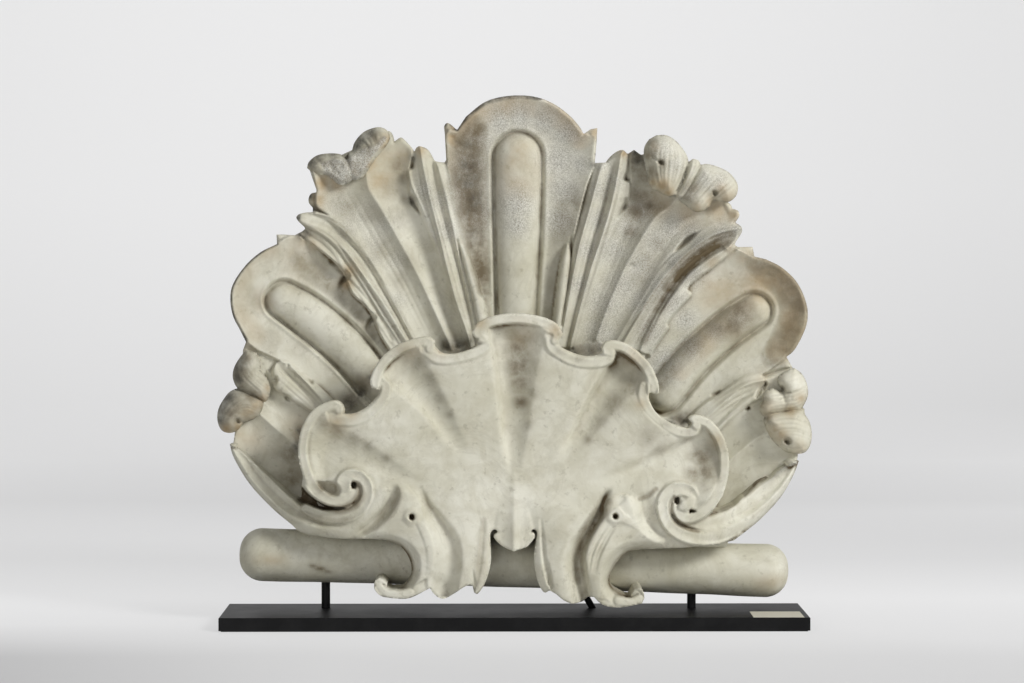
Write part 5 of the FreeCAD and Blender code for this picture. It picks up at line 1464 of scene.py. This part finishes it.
def build_right_curl(stone):
    """The right curl, in three lobes."""
    upper = [
        (794.9, 368.3), (801.5, 373.4), (805.9, 380.7), (808, 389.5), (807.6, 396.8), (804.2, 404.5),
        (800, 410), (790, 413), (781, 410), (779.5, 400), (781.5, 390), (778.3, 384.4), (778.2, 379.6),
        (781.5, 374.4), (788.3, 370)]
    side = [(773, 388.2), (779, 390.5), (786, 394.5), (792, 400), (792, 409), (784, 413), (773, 415.5),
            (764, 416.5), (760.6, 411.5), (760.8, 405.6), (763.4, 400.5), (762.9, 395.4), (766.3, 391)]
    lower = [
        (804.4, 408.5), (805, 414), (809.5, 421.7), (811.7, 432), (811.3, 440.7), (808.8, 448), (804, 452.8),
        (795.6, 453.8), (786.8, 452), (779, 447), (771, 438), (766, 428), (764.5, 419), (770, 413.5),
        (783, 410.5), (795, 408)]
    build_curl("curl_right", "right_curl",
               [(upper, -6, 26), (side, -6, 24), (lower, -6, 30)], stone, carve_right_curl, 31)


def build_upper_right_curl(stone):
    """The upper right curl: two shells with a neck between them."""
    first = [
        (656.4, 135.2), (666.2, 135.2), (675, 140), (682.2, 148), (687.5, 157), (688, 167), (683, 179),
        (677.5, 190.7), (672.4, 195.8), (666.2, 195.4), (658.2, 191), (650.6, 187), (648, 178.3),
        (646, 167.6), (644, 157), (644.9, 146.3), (649.3, 139.2)]
    neck = [(692.8, 158.7), (699, 160.8), (700, 168), (694, 183), (686, 196), (681, 199), (676.5, 196),
            (680.4, 188), (686, 174), (688, 163)]
    second = [
        (700, 165), (707, 163.9), (717.7, 166.7), (728.3, 172), (735.5, 180), (738, 187.5), (736, 196),
        (729.5, 201.6), (722, 201.8), (714, 201), (709, 207), (703, 211), (696.4, 212), (690, 208.5),
        (684, 203.4), (679, 199.4), (682, 192), (690, 180)]
    build_curl("curl_upper_right", "upper_right_curl",
               [(first, -7, 29), (neck, 0, 14), (second, -7, 27)], stone, carve_upper_right_curl, 41)


def build_upper_left_curl(stone):
    """The upper left curl, of which a stub and a knob are left."""
    stub = [(307, 168), (308.8, 162), (315.7, 156), (324.2, 153.7), (335.3, 153.4), (343, 155.4), (350, 162),
            (354, 170), (353, 178), (346.4, 184), (338, 184), (331, 178.5), (326, 175.2), (314, 174)]
    knob = [
        (346.4, 154), (351.5, 151), (354, 143.5), (358.4, 137), (365.3, 131), (375.5, 127.4), (382.4, 127.7),
        (387.5, 131), (390, 137), (386, 146), (376, 157), (368, 170), (360, 179), (350, 178), (345, 166)]
    build_curl("curl_upper_left", "upper_left_curl",
               [(stub, -9, 20), (knob, -9, 20)], stone, carve_broken_curl, 51)


def build_curls(stone):
    """The four rolled-over leaf ends on the fan's edge."""
    for build in (build_left_curl, build_right_curl, build_upper_right_curl, build_upper_left_curl):
        build(stone)


def bore(piece, pin):
    """Drills the round hole that a pin stands in, from below."""
    deep, radius, play, past = 0.045, 0.007, 0.0005, 0.04
    low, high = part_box(pin)
    middle = ((low[0] + high[0]) / 2, (low[1] + high[1]) / 2, high[2] + play - deep / 2 - past / 2)
    cutter = bpy.data.meshes.new("drill")
    shape = bmesh.new()
    bmesh.ops.create_cone(shape, cap_ends=True, segments=48, radius1=radius, radius2=radius,
                          depth=deep + past, matrix=Matrix.Translation(middle))
    shape.to_mesh(cutter)
    shape.free()
    drill = bpy.data.objects.new("drill", cutter)
    bpy.context.scene.collection.objects.link(drill)
    cut = piece.modifiers.new("bore", "BOOLEAN")
    cut.object = drill
    cut.solver = "EXACT"
    bored = bpy.data.meshes.new_from_object(piece.evaluated_get(bpy.context.evaluated_depsgraph_get()))
    piece.modifiers.clear()
    piece.data = bored
    bpy.data.objects.remove(drill)


def roll_points(rings, around):
    """The roll's surface along the x axis in metres: slightly waisted and uneven, with blunt round ends."""
    half, waist, flare, end_round = 0.409, 0.0372, 0.0030, 0.034
    uneven, worn = 0.00022, 1.6
    source = np.random.default_rng(11)
    swell = [source.uniform(0, 6.28, 6), source.uniform(0.2, 1.0, 6)]
    points = []
    for ring in range(rings + 1):
        x = -half * math.cos(math.pi * ring / rings)
        end = max((abs(x) - (half - end_round)) / end_round, 0)
        body = waist + flare * (abs(x) / half) ** 1.4 - end_round * (1 - math.sqrt(max(1 - end ** 2, 0)))
        for spoke in range(around):
            angle = math.tau * spoke / around
            dent = sum(w * math.sin(k * angle + 9 * x * (k + 1) + p)
                       for k, (p, w) in enumerate(zip(*swell), start=1))
            radius = max(body - uneven * (worn + dent), 0.0)
            points.append((x, radius * math.cos(angle), radius * math.sin(angle)))
    return np.array(points)


def mark_roll(piece, points):
    """The roll's brown pits and tan patches, as blots round places that the camera sees."""
    ahead, blot_deep, squash = 8, 0.05, 0.45
    places = {"dirt_and_shade": [(313, 566, 0.007, 0.8), (320, 569, 0.009, 0.9), (327, 572, 0.007, 0.7),
                       (380, 588, 0.03, 0.3)],
              "tan": [(272, 560, 0.02, 0.4), (770, 583, 0.03, 0.35), (255, 560, 0.02, 0.3)]}
    for mark, blots in places.items():
        values = np.zeros(len(points))
        for column, row, reach, force in blots:
            gap = (points - stand_up(column, row, ahead)) / (reach, blot_deep, reach * squash)
            values = np.maximum(values, force * np.exp(-(gap ** 2).sum(1)))
        piece.data.attributes.new(mark, "FLOAT", "POINT").data.foreach_set("value", values.astype(np.float32))


def build_roll(stone):
    """The round roll under the fan, which falls a little to the right, with a bore for each pin."""
    rings, around = 240, 96
    fall, middle = math.radians(1.88), (0.0, 0.029, 0.0885)
    straight = roll_points(rings, around)
    faces = [(r * around + s, r * around + (s + 1) % around, (r + 1) * around + (s + 1) % around,
              (r + 1) * around + s) for r in range(rings) for s in range(around)]
    faces += [tuple(range(around))[::-1], tuple(range(rings * around, (rings + 1) * around))]
    turned = straight.copy()
    turned[:, 0] = straight[:, 0] * math.cos(fall) + straight[:, 2] * math.sin(fall)
    turned[:, 2] = -straight[:, 0] * math.sin(fall) + straight[:, 2] * math.cos(fall)
    turned += middle
    piece = new_piece("roll_marble", turned, faces, "carving")
    mark_roll(piece, turned)
    for pin in ("left_pin", "right_pin"):
        bore(piece, pin)
    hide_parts("base_roll")
    dress(piece, stone)
    return piece


# ---- the setting ----

STUDIO_GLOW = [
    (-6.0, 0.50), (-2.0, 0.46), (-1.0, 0.375), (-0.31, 0.47), (-0.15, 0.53), (0.275, 0.615), (0.79, 0.545),
    (1.1, 0.54), (1.86, 0.48), (3.54, 0.56), (4.49, 0.64), (5.13, 0.66), (6.2, 0.66)]
# """How brightly the sheet glows for the camera, as painted light, along its run from the front of the floor
# upwards."""
"""How bright the sheet is lit from behind, along its run from the front of the floor upwards."""


def sheet_mesh(runs, sides):
    """A sheet along some runs from the front and some sides: a floor that bends up behind the stand."""
    start, bend = 2.9, 1.6
    turn = np.clip((runs - start) / bend, 0, math.pi / 2)
    depth = np.minimum(runs, start) + bend * np.sin(turn)
    height = bend * (1 - np.cos(turn)) + np.maximum(runs - start - bend * math.pi / 2, 0)
    points = [(side, y, z) for side in sides for y, z in zip(depth, height)]
    count = len(runs)
    faces = [(k, k + 1, k + 1 + count, k + count) for row in range(len(sides) - 1)
             for k in range(row * count, row * count + count - 1)]
    mesh = bpy.data.meshes.new("seamless_sheet")
    mesh.from_pydata(points, [], faces)
    for face in mesh.polygons:
        face.use_smooth = True
    return mesh


def sheet_glow(runs, sides):
    """How bright the sheet glows at each point, from 0 to 1: its run's level, and its sides' shades."""
    tilt, right_floor, left_shade = 0.03, 0.08, 0.4
    risen_more, risen_tilt, risen_fall = 0.045, 0.0195, 0.0136
    run, aside = np.meshgrid(runs, sides)
    near = aside.clip(-1.6, 1.6)
    far = ramp(run, 1.1, 1.6)
    risen = ramp(run, 2.9, 3.5)
    glow = np.interp(run, *zip(*STUDIO_GLOW)) - tilt * near
    glow += right_floor * near.clip(0) * far * (1 - risen)
    glow += risen * (risen_more + risen_tilt * near - risen_fall * near ** 2)
    # Painted shade on the front of the floor to the left.
    glow -= left_shade * (-near - 0.3).clip(0, 0.4) * ramp(-run, 0, 0.3) * ramp(run, -2.0, -1.2)
    return glow.ravel().clip(0, 1)


def build_sheet():
    """A pale seamless sheet that runs from the floor up behind the stand, with painted light: a glow seen by
    the camera and in reflections.
    """
    runs = np.concatenate([[-9.0], np.linspace(-6.0, 7.0, 261), [12.0]])
    sides = np.concatenate([[-14.0], np.linspace(-2.5, 2.5, 21), [14.0]])
    mesh = sheet_mesh(runs, sides)
    mesh.attributes.new("glow", "FLOAT", "POINT").data.foreach_set("value", sheet_glow(runs, sides))
    sheet = bpy.data.objects.new("seamless_sheet", mesh)
    bpy.context.scene.collection.objects.link(sheet)
    s = Shader("seamless_pale", Roughness=0.9, Specular_IOR_Level=0.1)
    path = s.node("LightPath")
    seen = s.math("MAXIMUM", path.outputs["Is Camera Ray"], path.outputs["Is Glossy Ray"])
    seen = s.math("MAXIMUM", seen, path.outputs["Is Transmission Ray"])
    s.set(s.surface, Base_Color=s.mix(seen, tone(226, 226, 227), tone(137, 137, 138)),
          Emission_Color=(1, 1, 1, 1), Emission_Strength=s.math("MULTIPLY", seen, s.mark("glow")))
    dress(sheet, s.material)


def build_world():
    """A weak pale world, brighter where the camera looks past the sheet."""
    on_pieces, to_camera = 0.2, 0.85
    world = bpy.data.worlds.new("soft_world")
    world.use_nodes = True
    links, nodes = world.node_tree.links, world.node_tree.nodes
    nodes["Background"].inputs["Color"].default_value = tone(235, 235, 238)
    path = nodes.new("ShaderNodeLightPath")
    strength = nodes.new("ShaderNodeMapRange")
    strength.inputs["To Min"].default_value = on_pieces
    strength.inputs["To Max"].default_value = to_camera
    links.new(path.outputs["Is Camera Ray"], strength.inputs["Value"])
    links.new(strength.outputs[0], nodes["Background"].inputs["Strength"])
    bpy.context.scene.world = world


def lamp(name, place, target, size, watts, colour=(1, 1, 1)):
    """A round area lamp at a place, which shines at a target, in metres."""
    light = bpy.data.lights.new(name, "AREA")
    light.shape = "DISK"
    light.size = size
    light.energy = watts
    light.color = colour
    holder = bpy.data.objects.new(name, light)
    holder.location = place
    holder.rotation_euler = (Vector(target) - Vector(place)).to_track_quat("-Z", "Y").to_euler()
    bpy.context.scene.collection.objects.link(holder)


def build_camera():
    """The camera, which stands at the eye and looks along its rays."""
    sensor = 36.0
    camera = bpy.data.cameras.new("camera")
    camera.sensor_width = sensor
    camera.lens = FOCAL_COLUMNS / PICTURE[0] * sensor
    camera.clip_end = 50
    holder = bpy.data.objects.new("camera", camera)
    axes = Matrix([RIGHTWARD, UPWARD, -FORWARD]).transposed().to_4x4()
    holder.matrix_world = Matrix.Translation(Vector(EYE / 1000.0)) @ axes
    bpy.context.scene.collection.objects.link(holder)
    bpy.context.scene.camera = holder


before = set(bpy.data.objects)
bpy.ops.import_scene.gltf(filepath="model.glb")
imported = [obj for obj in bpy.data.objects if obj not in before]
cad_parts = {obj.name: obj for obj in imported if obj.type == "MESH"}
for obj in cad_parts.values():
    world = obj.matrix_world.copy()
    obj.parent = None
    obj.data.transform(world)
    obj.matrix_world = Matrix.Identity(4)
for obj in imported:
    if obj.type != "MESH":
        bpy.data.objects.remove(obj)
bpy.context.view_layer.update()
stone = marble()
build_camera()
build_sheet()
build_world()
lamp("back", place=(-1.6, 3.0, 3.4), target=(0, 0, 0.4), size=1.6, watts=24)
lamp("key", place=(2.5, -2.2, 2.1), target=(0, 0, 0.4), size=1.1, watts=109, colour=(1.0, 0.995, 0.98))
lamp("fill", place=(-1.3, -3.6, 0.9), target=(0, 0, 0.4), size=2.0, watts=24)
lamp("top", place=(0.0, -0.4, 3.2), target=(0, 0, 0.3), size=1.8, watts=10)
build_fan(stone)
build_basin(stone)
build_curls(stone)
build_roll(stone)
paint = steel("black_steel", tone(16, 16, 17), rough=0.46)
for node in ("base_plate", "left_pin", "right_pin", "support_prop"):
    dress(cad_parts[node], paint)
dress(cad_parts["pin_screws"], bright_screw())
dress(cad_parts["base_felt"], felt())
dress(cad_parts["label_card"], paper())
view = bpy.context.scene.view_settings
view.view_transform = "Standard"
